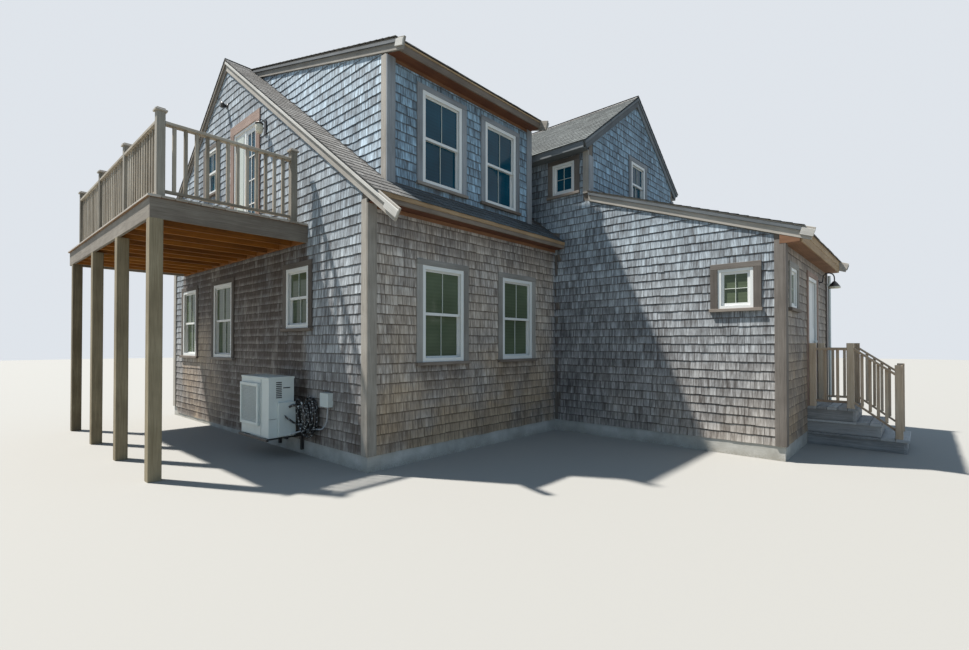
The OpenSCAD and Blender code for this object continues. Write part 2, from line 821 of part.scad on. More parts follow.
// Space behind the wing's sloping boards, kept free of corner boards
module wing_rake_below() {
    along_y(-wing_forward - rake_t - e, -wing_forward) {
        rake_shape(wing_eave_x - eave_over, west_z(wing_eave_x - eave_over), wing_mid, wing_ridge_z, rake_d);
        rake_shape(wing_end + 2 * eave_over, east_z(wing_end + 2 * eave_over), wing_mid, wing_ridge_z, rake_d);
    }
}

// Everything under the lean-to's roof surface, with its side boards
module lean_below() {
    along_x(wing_x - rake_t - e, wing_end + rake_t + e)
        polygon([[lean_y, 0], [-wing_forward, 0], [-wing_forward, lean_top_z], [lean_y, lean_z(lean_y)]]);
}

module window_casings() {
    color(trimcol) {
        on_south(0) for (w = south_wins) casing_unit(w[0], w);
        on_west(0) for (w = west_wins) casing_unit(-w[0], w);
        on_south(dormer_set) for (w = dormer_wins) casing_unit(w[0], w);
        on_west(wing_x) for (w = wing_west_wins) casing_unit(-w[0], w);
        on_south(-wing_forward) for (w = gable_wins) casing_unit(w[0], w);
        on_south(lean_y) for (w = lean_wins) casing_unit(w[0], w);
        on_east(wing_end) for (w = east_wins) casing_unit(w[0], w);
        on_north(main_depth) for (w = north_wins) casing_unit(-w[0], w);
        on_west(0) door_casing(-deck_door_y, deck_z, deck_door_w, deck_door_h, deck_case_w, deck_case_top);
        on_south(lean_y) door_casing(entry_x + entry_w / 2, entry_sill, entry_w, entry_h - entry_sill, case_w,
            case_top);
    }
}
// Boards beside and over a door
module door_casing(c, z, w, h, side, top) {
    translate([c - w / 2, 0, z]) difference() {
        translate([-side, -trim_t, 0]) cube([w + 2 * side, trim_t, h + top]);
        translate([0, -trim_t - e, -e]) cube([w, trim_t + 2 * e, h + e]);
    }
}

module window_frames() {
    color(white) {
        on_south(0) for (w = south_wins) frame_unit(w[0], w);
        on_west(0) for (w = west_wins) frame_unit(-w[0], w);
        on_south(dormer_set) for (w = dormer_wins) frame_unit(w[0], w);
        on_west(wing_x) for (w = wing_west_wins) frame_unit(-w[0], w);
        on_south(-wing_forward) for (w = gable_wins) frame_unit(w[0], w);
        on_south(lean_y) for (w = lean_wins) frame_unit(w[0], w);
        on_east(wing_end) for (w = east_wins) frame_unit(w[0], w);
        on_north(main_depth) for (w = north_wins) frame_unit(-w[0], w);
    }
}

module window_glass() {
    color([0.2, 0.32, 0.34]) {
        on_south(0) for (w = south_wins) pane_unit(w[0], w);
        on_west(0) for (w = west_wins) pane_unit(-w[0], w);
        on_south(dormer_set) for (w = dormer_wins) pane_unit(w[0], w);
        on_west(wing_x) for (w = wing_west_wins) pane_unit(-w[0], w);
        on_south(-wing_forward) for (w = gable_wins) pane_unit(w[0], w);
        on_south(lean_y) for (w = lean_wins) pane_unit(w[0], w);
        on_east(wing_end) for (w = east_wins) pane_unit(w[0], w);
        on_north(main_depth) for (w = north_wins) pane_unit(-w[0], w);
        deck_door_pane();
    }
}

module deck_door() {
    color(white) on_west(0) translate([-deck_door_y - deck_door_w / 2, 0, deck_z]) {
        difference() {
            translate([0, -frame_out, 0]) cube([deck_door_w, frame_out + wall_t, deck_door_h]);
            translate([door_frame, -frame_out - e, -e]) cube([deck_door_w - 2 * door_frame,
                frame_out + wall_t + 2 * e, deck_leaf_h + e]);
        }
        translate([door_frame + deck_half_w, 0, 0]) cube([mid_stile, leaf_t, deck_leaf_h]);
        translate([door_frame, frame_out, 0]) cube([deck_half_w, leaf_t - frame_out, deck_leaf_h]);
        difference() {
            translate([door_frame + deck_half_w + mid_stile, frame_out, 0]) cube([deck_half_w,
                leaf_t - frame_out, deck_leaf_h]);
            translate([door_frame + deck_half_w + mid_stile + stile / 2, 0, kick]) cube([deck_half_w - stile,
                leaf_t + e, deck_leaf_h - kick - stile]);
        }
    }
}

module deck_door_pane() {
    on_west(0) translate([-deck_door_y - deck_door_w / 2 + door_frame + deck_half_w + mid_stile + stile / 2,
            leaf_t / 2, deck_z + kick])
        cube([deck_half_w - stile, pane_t, deck_leaf_h - kick - stile]);
}

// Jambs, head and threshold of the entry door, with a thin stop outside the leaf
module entry_door_frame() {
    far = hinge_x + door_gap + entry_leaf_w + far_gap;
    color(white) difference() {
        span([entry_x, lean_y - frame_out, entry_sill], [entry_x + entry_w, lean_y + wall_t, entry_h]);
        span([hinge_x, lean_y - frame_out + stop_t, entry_sill + door_frame / 2],
            [far, lean_y + wall_t + e, entry_h - door_frame]);
        span([hinge_x + stop_w, lean_y - frame_out - e, entry_sill + door_frame / 2],
            [far - stop_w, lean_y + wall_t + e, entry_h - door_frame - stop_w]);
        hinges(hinge_r + hinge_play, hinge_play);
    }
}

// Knuckles of the entry door, also cut from the jamb with play round them
module hinges(r, play) {
    for (k = [0 : hinge_n - 1])
        translate([hinge_x, hinge_y,
            entry_leaf_z + kick - play + k * (entry_leaf_h - 2 * kick - hinge_h) / (hinge_n - 1)])
            cylinder(h = hinge_h + 2 * play, r = r);
}

module entry_door() {
    lx = hinge_x + door_gap;
    ly = hinge_y - door_gap - leaf_t;
    color(white) translate([hinge_x, hinge_y, 0]) rotate([0, 0, entry_open]) translate([-hinge_x, -hinge_y, 0]) {
        difference() {
            translate([lx, ly, entry_leaf_z]) cube([entry_leaf_w, leaf_t, entry_leaf_h]);
            for (k = [0, 1]) {
                translate([lx + panel_in, ly - e, entry_leaf_z + kick + k * (entry_leaf_h / 2 - stile / 2)])
                    cube([entry_leaf_w - 2 * panel_in, panel_cut + e,
                        entry_leaf_h / 2 - kick - stile / 2 + k * stile]);
            }
        }
        hinges(hinge_r, 0);
        translate([lx + entry_leaf_w - knob_in, ly - knob_r, entry_leaf_z + knob_z]) sphere(knob_r);
        translate([lx + entry_leaf_w - knob_in, ly + leaf_t + knob_r, entry_leaf_z + knob_z]) sphere(knob_r);
        translate([lx + entry_leaf_w - knob_in, ly + leaf_t + knob_r, entry_leaf_z + knob_z]) rotate([90, 0, 0])
            cylinder(h = leaf_t + 2 * knob_r, r = knob_stem_r);
    }
}

module deck_posts() {
    color(wood) for (y = deck_post_ys)
        span([-deck_out, y - deck_post / 2, 0], [-deck_out + deck_post, y + deck_post / 2,
            deck_z - deck_board_t - deck_rim_h]);
}

// Outer boards of the deck frame and the ledger on the wall
module deck_rim() {
    top = deck_z - deck_board_t;
    low = top - deck_rim_h;
    color(wood) {
        span([-deck_out, deck_south, low], [0, deck_south + joist_t, top]);
        span([-deck_out, deck_north - joist_t, low], [0, deck_north, top]);
        span([-deck_out, deck_south + joist_t, low], [-deck_out + joist_t, deck_north - joist_t, top]);
        span([-joist_t, deck_south + joist_t, low], [0, deck_north - joist_t, top]);
    }
}

module deck_joists() {
    top = deck_z - deck_board_t;
    pitch = (deck_north - deck_south - joist_t) / (joist_n + 1);
    color(wood) for (i = [1 : joist_n])
        span([-deck_out + joist_t, deck_south + i * pitch, top - deck_rim_h],
            [-joist_t, deck_south + i * pitch + joist_t, top]);
}

module deck_boards() {
    color(wood) span([-deck_out - deck_lip, deck_south - deck_lip, deck_z - deck_board_t],
        [0, deck_north + deck_lip, deck_z]);
}

// Square post with a low pyramid-like cap made of two steps
module rail_post_unit(x, y, z0, z1) {
    span([x - rail_post / 2, y - rail_post / 2, z0], [x + rail_post / 2, y + rail_post / 2, z1]);
    span([x - rail_post / 2 - cap_out, y - rail_post / 2 - cap_out, z1],
        [x + rail_post / 2 + cap_out, y + rail_post / 2 + cap_out, z1 + cap_h / 2]);
    span([x - rail_post / 2, y - rail_post / 2, z1 + cap_h / 2],
        [x + rail_post / 2, y + rail_post / 2, z1 + cap_h]);
}

module deck_rail_posts() {
    color(wood) {
        for (y = rail_ys) rail_post_unit(rail_x, y, deck_z, deck_z + post_h);
        for (y = [rail_ys[0], rail_ys[3]]) rail_post_unit(-wall_post_x, y, deck_z, deck_z + post_h);
    }
}

// Level rail bay between two points along X, from x0 to x1
module bay(x0, x1) {
    n = floor((x1 - x0) / bal_pitch);
    gap = (x1 - x0 - n * bal) / (n + 1);
    span([x0, -rail_post / 2, rail_top - rail_t], [x1, rail_post / 2, rail_top]);
    span([x0, -bal / 2, rail_low - rail_t], [x1, bal / 2, rail_low]);
    for (i = [0 : n - 1])
        span([x0 + gap + i * (gap + bal), -bal / 2, rail_low],
            [x0 + gap + i * (gap + bal) + bal, bal / 2, rail_top - rail_t]);
}

module deck_railing_west() {
    color(wood) translate([rail_x, 0, deck_z]) rotate([0, 0, 90])
        for (i = [0 : 2]) bay(rail_ys[i] + rail_post / 2, rail_ys[i + 1] - rail_post / 2);
}

module deck_end_railings() {
    color(wood) for (y = [rail_ys[0], rail_ys[3]]) translate([0, y, deck_z])
        bay(rail_x + rail_post / 2, -wall_post_x - rail_post / 2);
}

// One level of the steps, a box frame with a boarded top
module step_level(y, z) {
    difference() {
        span([steps_left, y, z - riser], [steps_right, lean_y, z - tread_t]);
        span([steps_left + step_frame_t, y + step_frame_t, z - riser - e],
            [steps_right - step_frame_t, lean_y - step_frame_t, z - tread_t + e]);
    }
    span([steps_left - trim_t, y - trim_t, z - tread_t], [steps_right + trim_t, lean_y, z]);
}

module entry_steps() {
    color(wood) union() {
        step_level(landing_y - 2 * tread_d, riser);
        step_level(landing_y - tread_d, 2 * riser);
        step_level(landing_y, 3 * riser);
    }
}

// Sloping bar between two heights, as a side profile
module slope_bar(y0, z0, y1, z1, t) {
    polygon([[y0, z0], [y1, z1], [y1, z1 - t], [y0, z0 - t]]);
}

// Posts, rails and balusters on one side of the steps
module entry_side(x) {
    z0 = 3 * riser;
    hi = z0 + landing_rail;
    lo = riser + landing_rail + rail_t;
    y0 = newel_y + rail_post / 2;
    y1 = landing_post_y - rail_post / 2;
    sp = (y1 - y0) / (slope_bal_n + 1);
    fall = (hi - lo) / (y1 - y0);
    span([x - rail_post / 2, wall_post_y - rail_post / 2, z0],
        [x + rail_post / 2, wall_post_y + rail_post / 2, z0 + post_h]);
    span([x - rail_post / 2, landing_post_y - rail_post / 2, z0],
        [x + rail_post / 2, landing_post_y + rail_post / 2, z0 + post_h]);
    span([x - rail_post / 2, newel_y - rail_post / 2, riser],
        [x + rail_post / 2, newel_y + rail_post / 2, riser + newel_h]);
    span([x - rail_post / 2, landing_post_y + rail_post / 2, hi - rail_t],
        [x + rail_post / 2, wall_post_y - rail_post / 2, hi]);
    span([x - bal / 2, landing_post_y + rail_post / 2, z0 + landing_low - rail_t],
        [x + bal / 2, wall_post_y - rail_post / 2, z0 + landing_low]);
    for (k = [1 : landing_bal_n]) {
        yk = landing_post_y + k * (wall_post_y - landing_post_y) / (landing_bal_n + 1);
        span([x - bal / 2, yk - bal / 2, z0 + landing_low], [x + bal / 2, yk + bal / 2, hi - rail_t]);
    }
    along_x(x - rail_post / 2, x + rail_post / 2) slope_bar(y0, lo, y1, hi, rail_t);
    along_x(x - bal / 2, x + bal / 2) slope_bar(y0, lo - landing_rail + landing_low, y1,
        hi - landing_rail + landing_low, rail_t);
    for (k = [1 : slope_bal_n]) {
        yk = y0 + k * sp;
        along_x(x - bal / 2, x + bal / 2) polygon([[yk - bal / 2,
            lo + fall * (yk - bal / 2 - y0) - landing_rail + landing_low],
            [yk + bal / 2, lo + fall * (yk + bal / 2 - y0) - landing_rail + landing_low],
            [yk + bal / 2, lo + fall * (yk + bal / 2 - y0) - rail_t],
                [yk - bal / 2, lo + fall * (yk - bal / 2 - y0) - rail_t]]);
    }
}

module entry_railing_left() {
    color(wood) entry_side(steps_left + rail_post / 2);
}

module entry_railing_right() {
    color(wood) entry_side(steps_right - rail_post / 2);
}

// Cabinet with a raised grille plate round its fan, and a service cover on its south side
module condenser() {
    cy = ac_y + ac_w - grille_y - trim_t;
    cz = ac_z + grille_z;
    color(white) {
        difference() {
            union() {
                span([-ac_out, ac_y, ac_z], [-ac_in, ac_y + ac_w, ac_z + ac_h]);
                span([-ac_out - grille_d, cy - grille_y, cz - grille_y], [-ac_out, cy + grille_y, cz + grille_y]);
                span([-ac_out + cover_in, ac_y - cover_d, ac_z + cover_z],
                    [-ac_in, ac_y, ac_z + cover_z + cover_h]);
            }
            translate([-ac_out - grille_d - e, cy, cz]) rotate([0, 90, 0]) cylinder(h = 4 * grille_d,
                r = grille_r);
        }
        translate([-ac_out - grille_d, cy, cz]) rotate([0, 90, 0]) cylinder(h = 4 * grille_d, r = hub_r);
    }
}

// Two arms that carry the condenser, each with its plate on the wall
module condenser_fittings() {
    color([0.4, 0.38, 0.36]) for (y = [ac_y + arm_in, ac_y + ac_w - arm_in - arm_h]) {
        span([-ac_out - arm_h, y, arm_z], [0, y + arm_h, arm_z + arm_h]);
        span([-arm_h, y, arm_z - found_h], [0, y + arm_h, arm_z]);
    }
}

// Disconnect box and a riser pipe by the south-east corner
module wall_boxes() {
    color(white) {
        span([-disc_d, disc_y, disc_z], [0, disc_y + disc_w, disc_z + disc_h]);
        translate([wing_end - pipe_in, lean_y - trim_t - pipe_off, 0]) cylinder(h = pipe_top, r = pipe_r);
        for (z = [riser, entry_h])
            span([wing_end - pipe_in - pipe_r, lean_y - trim_t - pipe_off, z],
                [wing_end - pipe_in + pipe_r, lean_y - trim_t, z + arm_h]);
    }
}

// Lantern by the upper door, flood light under the ridge and barn light by the entry
module wall_lights() {
    color([0.08, 0.08, 0.09]) {
        span([-trim_t, light_y - lamp_bar, light_z], [0, light_y + lamp_bar, light_z + 4 * lamp_r]);
        translate([-2 * lamp_r, light_y, light_z]) cylinder(h = 3 * lamp_r, r = lamp_r);
        span([-2 * lamp_r, light_y - lamp_bar / 2, light_z + 3 * lamp_r],
            [0, light_y + lamp_bar / 2, light_z + 3 * lamp_r + lamp_bar]);
        span([-2 * lamp_r, flood_y - lamp_r, flood_z], [0, flood_y + lamp_r, flood_z + 2 * lamp_r]);
        barn_light();
    }
}

// Shade on a bent neck, its foot on the lean-to's wall
module barn_light() {
    translate([barn_x, lean_y, barn_z]) {
        translate([0, 0, neck_foot]) rotate([90, 0, 0]) cylinder(h = trim_t, r = lamp_r);
        translate([0, 0, neck_foot]) rotate([90, 0, 0]) cylinder(h = neck_in + neck_r, r = neck_r);
        translate([0, -neck_in, neck_foot]) cylinder(h = neck_h - neck_foot + neck_r, r = neck_r);
        translate([0, neck_r - neck_in, neck_h]) rotate([90, 0,
            0]) cylinder(h = barn_out - neck_in + 2 * neck_r, r = neck_r);
        translate([0, -barn_out, barn_h / 2]) cylinder(h = neck_h - barn_h / 2, r = neck_r);
        translate([0, -barn_out, 0]) cylinder(h = barn_h, r1 = barn_r, r2 = 2 * neck_r);
    }
}

foundation();
ground_floor();
upper_floor();
main_west_wall();
main_south_wall();
main_north_wall();
wing_west_wall();
wing_east_wall();
wing_gable_wall();
lean_to_wall_left();
lean_to_wall_right();
lean_to_wall_over_door();
dormer_front_wall();
dormer_side_walls();
main_roof_south();
main_roof_north();
dormer_roof();
wing_roof_west();
wing_roof_east();
lean_to_roof();
main_roof_trim();
dormer_trim();
wing_roof_trim();
lean_to_trim();
corner_boards();
window_casings();
window_frames();
window_glass();
deck_door();
entry_door_frame();
entry_door();
deck_posts();
deck_rim();
deck_joists();
deck_boards();
deck_rail_posts();
deck_railing_west();
deck_end_railings();
entry_steps();
entry_railing_left();
entry_railing_right();
condenser();
condenser_fittings();
wall_boxes();
wall_lights();
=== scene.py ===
"""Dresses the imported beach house: shingled walls and roofs, timber trim, windows, deck, steps and fittings.

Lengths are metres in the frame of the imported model: X runs east along the south front, Y north and Z up.
Every piece stays where the frame puts the solid that it covers or stands for.
"""

import json
import logging
import math
from collections.abc import Callable
from dataclasses import dataclass
from enum import Enum
from functools import reduce

import bpy
import numpy as np
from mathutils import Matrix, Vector

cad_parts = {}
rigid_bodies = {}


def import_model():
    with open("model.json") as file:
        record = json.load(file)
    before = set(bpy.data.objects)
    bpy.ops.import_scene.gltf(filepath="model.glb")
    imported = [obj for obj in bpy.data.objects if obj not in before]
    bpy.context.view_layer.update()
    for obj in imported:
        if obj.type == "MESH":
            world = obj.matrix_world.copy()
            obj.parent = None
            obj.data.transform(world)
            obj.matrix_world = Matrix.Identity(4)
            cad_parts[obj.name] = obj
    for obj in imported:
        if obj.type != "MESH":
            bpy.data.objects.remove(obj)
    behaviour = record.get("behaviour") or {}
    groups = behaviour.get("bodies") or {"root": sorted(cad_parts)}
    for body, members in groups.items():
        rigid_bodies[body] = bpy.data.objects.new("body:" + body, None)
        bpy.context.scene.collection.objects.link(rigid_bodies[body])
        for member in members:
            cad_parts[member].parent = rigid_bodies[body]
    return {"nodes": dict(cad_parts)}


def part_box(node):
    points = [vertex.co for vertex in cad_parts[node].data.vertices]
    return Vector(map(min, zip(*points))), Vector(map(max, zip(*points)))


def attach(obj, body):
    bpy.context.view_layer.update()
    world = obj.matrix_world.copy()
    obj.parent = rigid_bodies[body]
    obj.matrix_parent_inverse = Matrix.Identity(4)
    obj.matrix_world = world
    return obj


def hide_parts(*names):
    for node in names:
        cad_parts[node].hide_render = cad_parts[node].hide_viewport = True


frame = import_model()
LOG = logging.getLogger("beach_house")

Array = np.ndarray
Pair = tuple[float, float]
Triple = tuple[float, float, float]
Rect = tuple[float, float, float, float]
Names = tuple[str, ...]
Marks = dict[str, Array]
Shape = tuple[Array, list[Array]]
Material = bpy.types.Material
Socket = bpy.types.NodeSocket

UP = np.array((0.0, 0.0, 1.0))
ROOF_T = 0.13
SOFFIT_T = 0.015
TRIM_T = 0.025
CORNER_W = 0.115
CASING_W = 0.102
CASING_HEAD = 0.080
SILL_H = 0.045
DECK_CASING_W = 0.15
DECK_CASING_HEAD = 0.165
RAKE_V = 0.205
PORCH_RAKE = 0.185
PORCH_FASCIA = 0.22
COURSE = 0.127
JUMP = 1e-4


class Side(Enum):
    """The way a wall looks, with the direction to its right, seen from outside, as x and y."""

    SOUTH = (1.0, 0.0)
    WEST = (0.0, -1.0)
    EAST = (0.0, 1.0)
    NORTH = (-1.0, 0.0)


class Run(Enum):
    """The axis that a board's length or a turned shape's middle line follows."""

    X = 0
    Y = 1
    Z = 2


def corner(node: str, high: bool, axis: int) -> float:
    """One coordinate of a node's box, from its highest corner where high is True and else from its lowest."""
    return float(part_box(node)[1 if high else 0][axis])


@dataclass(frozen=True)
class Plane:
    """A flat face in the house's frame, with s to the right, t up the face and n outwards."""

    origin: Array
    right: Array
    up: Array

    def place(self, s: Array, t: Array, n: Array) -> Array:
        """Points of the frame for face coordinates: origin + s right + t up + n (right times up)."""
        s, t, n = (np.asarray(part)[..., None] for part in np.broadcast_arrays(s, t, n))
        return self.origin + s * self.right + t * self.up + n * np.cross(self.right, self.up)


def wall_plane(side: Side, at: float) -> Plane:
    """The vertical plane of a wall face at an x or y. Its s is x, -y, y or -x, and its t is the height."""
    right = np.array((*side.value, 0.0))
    return Plane(at * np.abs(right[[1, 0, 2]]), right, UP)


@dataclass(frozen=True)
class Slope:
    """A roof surface: height z0 at c0, rising by pitch along X or Y."""

    axis: int
    c0: float
    z0: float
    pitch: float

    def z(self, c: Array) -> Array:
        """Height at coordinate c: z0 + pitch (c - c0)."""
        return self.z0 + self.pitch * (c - self.c0)

    def at(self, z: float) -> float:
        """The coordinate where the surface is z high: (z - height at 0) / pitch."""
        return (z - self.z(0.0)) / self.pitch

    def along(self, c: float) -> float:
        """Distance up the slope from c0 to coordinate c."""
        return abs(c - self.c0) * math.hypot(1.0, self.pitch)

    @property
    def soffit(self) -> float:
        """Height of the underside of the eave's soffit."""
        return self.z0 - ROOF_T - SOFFIT_T

    def plane(self) -> Plane:
        """The surface as a plane whose t runs up the slope from c0."""
        level, origin = np.zeros(3), np.zeros(3)
        level[self.axis] = math.copysign(1.0, self.pitch)
        up = level + abs(self.pitch) * UP
        origin[self.axis], origin[2] = self.c0, self.z0
        return Plane(origin, np.cross(level, UP), up / np.linalg.norm(up))


def slope_of(node: str, axis: int, rising: bool) -> Slope:
    """The top surface of a roof panel, from its box and the panel's upright thickness.

    Args:
        node: the roof panel's name.
        axis: 0 where the surface rises along X, 1 along Y.
        rising: True where it rises with the coordinate.

    Returns:
        The slope, counted from the eave edge.
    """
    lo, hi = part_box(node)
    eave, ridge = (lo[axis], hi[axis]) if rising else (hi[axis], lo[axis])
    low = lo[2] + ROOF_T
    return Slope(axis, eave, low, (hi[2] - low) / (ridge - eave))


@dataclass(frozen=True)
class Plan:
    """The house's wall planes and roof surfaces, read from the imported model."""

    west: float = corner("main_west_wall", False, 0)
    south: float = corner("main_south_wall", False, 1)
    north: float = corner("main_north_wall", True, 1)
    east: float = corner("wing_east_wall", True, 0)
    wing: float = corner("wing_west_wall", False, 0)
    gable: float = corner("wing_gable_wall", False, 1)
    lean: float = corner("lean_to_wall_left", False, 1)
    dormer: float = corner("dormer_front_wall", False, 1)
    dormer_west: float = corner("dormer_front_wall", False, 0)
    dormer_east: float = corner("dormer_front_wall", True, 0)
    sill: float = corner("main_south_wall", False, 2)
    ridge_y: float = corner("main_roof_south", True, 1)
    ridge_z: float = corner("main_roof_south", True, 2)
    wing_mid: float = corner("wing_roof_west", True, 0)
    deck_top: float = corner("deck_boards", True, 2)
    main_s: Slope = slope_of("main_roof_south", 1, True)
    main_n: Slope = slope_of("main_roof_north", 1, False)
    shed: Slope = slope_of("dormer_roof", 1, True)
    wing_w: Slope = slope_of("wing_roof_west", 0, True)
    wing_e: Slope = slope_of("wing_roof_east", 0, False)
    porch: Slope = slope_of("lean_to_roof", 1, True)

    @property
    def valley_y(self) -> float:
        """Where the wing's roof leaves its own walls: the main slope is as high there as the wing's slope."""
        return self.main_s.at(self.wing_w.z(self.wing))


class Graph:
    """Adds nodes to a node tree with few words."""

    def __init__(self, tree: bpy.types.NodeTree) -> None:
        """Keeps the tree that takes the nodes."""
        self.tree = tree

    def put(self, entry: Socket, value: object) -> None:
        """Links a socket to an input, or sets the input to a number, a vector or a colour.

        Args:
            entry: the input.
            value: the socket or the value.
        """
        if isinstance(value, Socket):
            self.tree.links.new(value, entry)
        else:
            entry.default_value = (*value, 1.0) if entry.type == "RGBA" else value

    def node(self, kind: str, inputs: dict | None = None, **props: object) -> bpy.types.Node:
        """Adds a node.

        Args:
            kind: the node's type.
            inputs: values or sockets for its inputs, by name or number.
            props: attributes to set on it.

        Returns:
            The node.
        """
        made = self.tree.nodes.new(kind)
        for key, value in props.items():
            setattr(made, key, value)
        for key, value in (inputs or {}).items():
            self.put(made.inputs[key], value)
        return made

    def scaled(self, vector: Socket, scale: Triple) -> Socket:
        """A vector stretched by a factor along each axis."""
        return self.node("ShaderNodeMapping", {"Vector": vector, "Scale": scale}).outputs[0]

    def position(self, scale: Triple = (1, 1, 1), offset: Socket | None = None) -> Socket:
        """Object coordinates, shifted and then stretched.

        Args:
            scale: the factor along each axis.
            offset: a vector socket to add, or None.

        Returns:
            The vector socket.
        """
        vector = self.node("ShaderNodeTexCoord").outputs["Object"]
        if offset is not None:
            vector = self.node("ShaderNodeVectorMath", {0: vector, 1: offset}, operation="ADD").outputs[0]
        return self.scaled(vector, scale)

    def part(self, vector: Socket, axis: int) -> Socket:
        """One coordinate of a vector."""
        return self.node("ShaderNodeSeparateXYZ", {0: vector}).outputs[axis]

    def attribute(self, name: str, output: str = "Fac") -> Socket:
        """The value of a piece's own attribute."""
        return self.node("ShaderNodeAttribute", attribute_name=name).outputs[output]

    def noise(self, vector: Socket, scale: float = 1.0, detail: float = 3.0, rough: float = 0.55) -> Socket:
        """Fractal noise from 0 to 1 over a vector."""
        values = {"Vector": vector, "Scale": scale, "Detail": detail, "Roughness": rough}
        return self.node("ShaderNodeTexNoise", values).outputs["Fac"]

    def ramp(self, fac: Socket, *stops: tuple[float, Triple]) -> Socket:
        """A colour ramp.

        Args:
            fac: the factor socket.
            stops: pairs of a place and a colour.

        Returns:
            The colour socket.
        """
        made = self.node("ShaderNodeValToRGB", {"Fac": fac})
        elements = made.color_ramp.elements
        while len(elements) < len(stops):
            elements.new(0.5)
        for element, (place, colour) in zip(elements, stops):
            element.position = place
            element.color = (*colour, 1.0)
        return made.outputs["Color"]

    def math(self, operation: str, a: object, b: object, clamp: bool = False) -> Socket:
        """One arithmetic step on numbers or sockets."""
        return self.node("ShaderNodeMath", {0: a, 1: b}, operation=operation, use_clamp=clamp).outputs[0]

    def plus(self, a: object, b: object) -> Socket:
        """The sum of two values."""
        return self.math("ADD", a, b)

    def times(self, a: object, b: object, clamp: bool = False) -> Socket:
        """The product of two values, held to 0 and 1 where clamp is True."""
        return self.math("MULTIPLY", a, b, clamp)

    def most(self, *values: Socket) -> Socket:
        """The largest of several values."""
        return reduce(lambda a, b: self.math("MAXIMUM", a, b), values)

    def weigh(self, value: Socket, *parts: tuple[Socket, float]) -> Socket:
        """A value plus each part's distance from one half times the part's weight."""
        weighed = [self.times(self.math("SUBTRACT", part, 0.5), weight) for part, weight in parts]
        return reduce(self.plus, weighed, value)

    def span(self, value: Socket, low: float, high: float) -> Socket:
        """The value's place between low and high, held to 0 and 1."""
        return self.node("ShaderNodeMapRange", {"Value": value, "From Min": low, "From Max": high}).outputs[0]

    def mix(self, fac: object, a: object, b: object, blend: str = "MIX") -> Socket:
        """Mixes two colours by a factor."""
        return self.node("ShaderNodeMix", {0: fac, 6: a, 7: b}, data_type="RGBA", blend_type=blend).outputs[2]

    def joint(self, width: float) -> Socket:
        """How near a point of a shingle lies to its left or right edge: 1 at the edge, 0 past a width."""
        return self.span(self.math("MINIMUM", self.attribute("near"), self.attribute("far")), width, 0.0)


class Finish(Graph):
    """The node tree of a new material with one Principled shader."""

    def __init__(self, name: str) -> None:
        """Starts the material.

        Args:
            name: the material's name.
        """
        self.material = bpy.data.materials.new(name)
        self.material.use_nodes = True
        super().__init__(self.material.node_tree)
        self.shader = self.tree.nodes["Principled BSDF"]

    def finish(self, colour: Socket, roughness: object, height: Socket | None = None,
               depth: float = 0.0) -> Material:
        """Feeds the shader its colour, roughness and bump.

        Args:
            colour: a colour socket.
            roughness: a socket or a number.
            height: a height socket for the bump, or None.
            depth: the bump's distance.

        Returns:
            The material.
        """
        self.put(self.shader.inputs["Base Color"], colour)
        self.put(self.shader.inputs["Roughness"], roughness)
        if height is not None:
            bump = self.node("ShaderNodeBump", {"Height": height, "Distance": depth, "Strength": 1.0})
            self.put(self.shader.inputs["Normal"], bump.outputs[0])
        return self.material


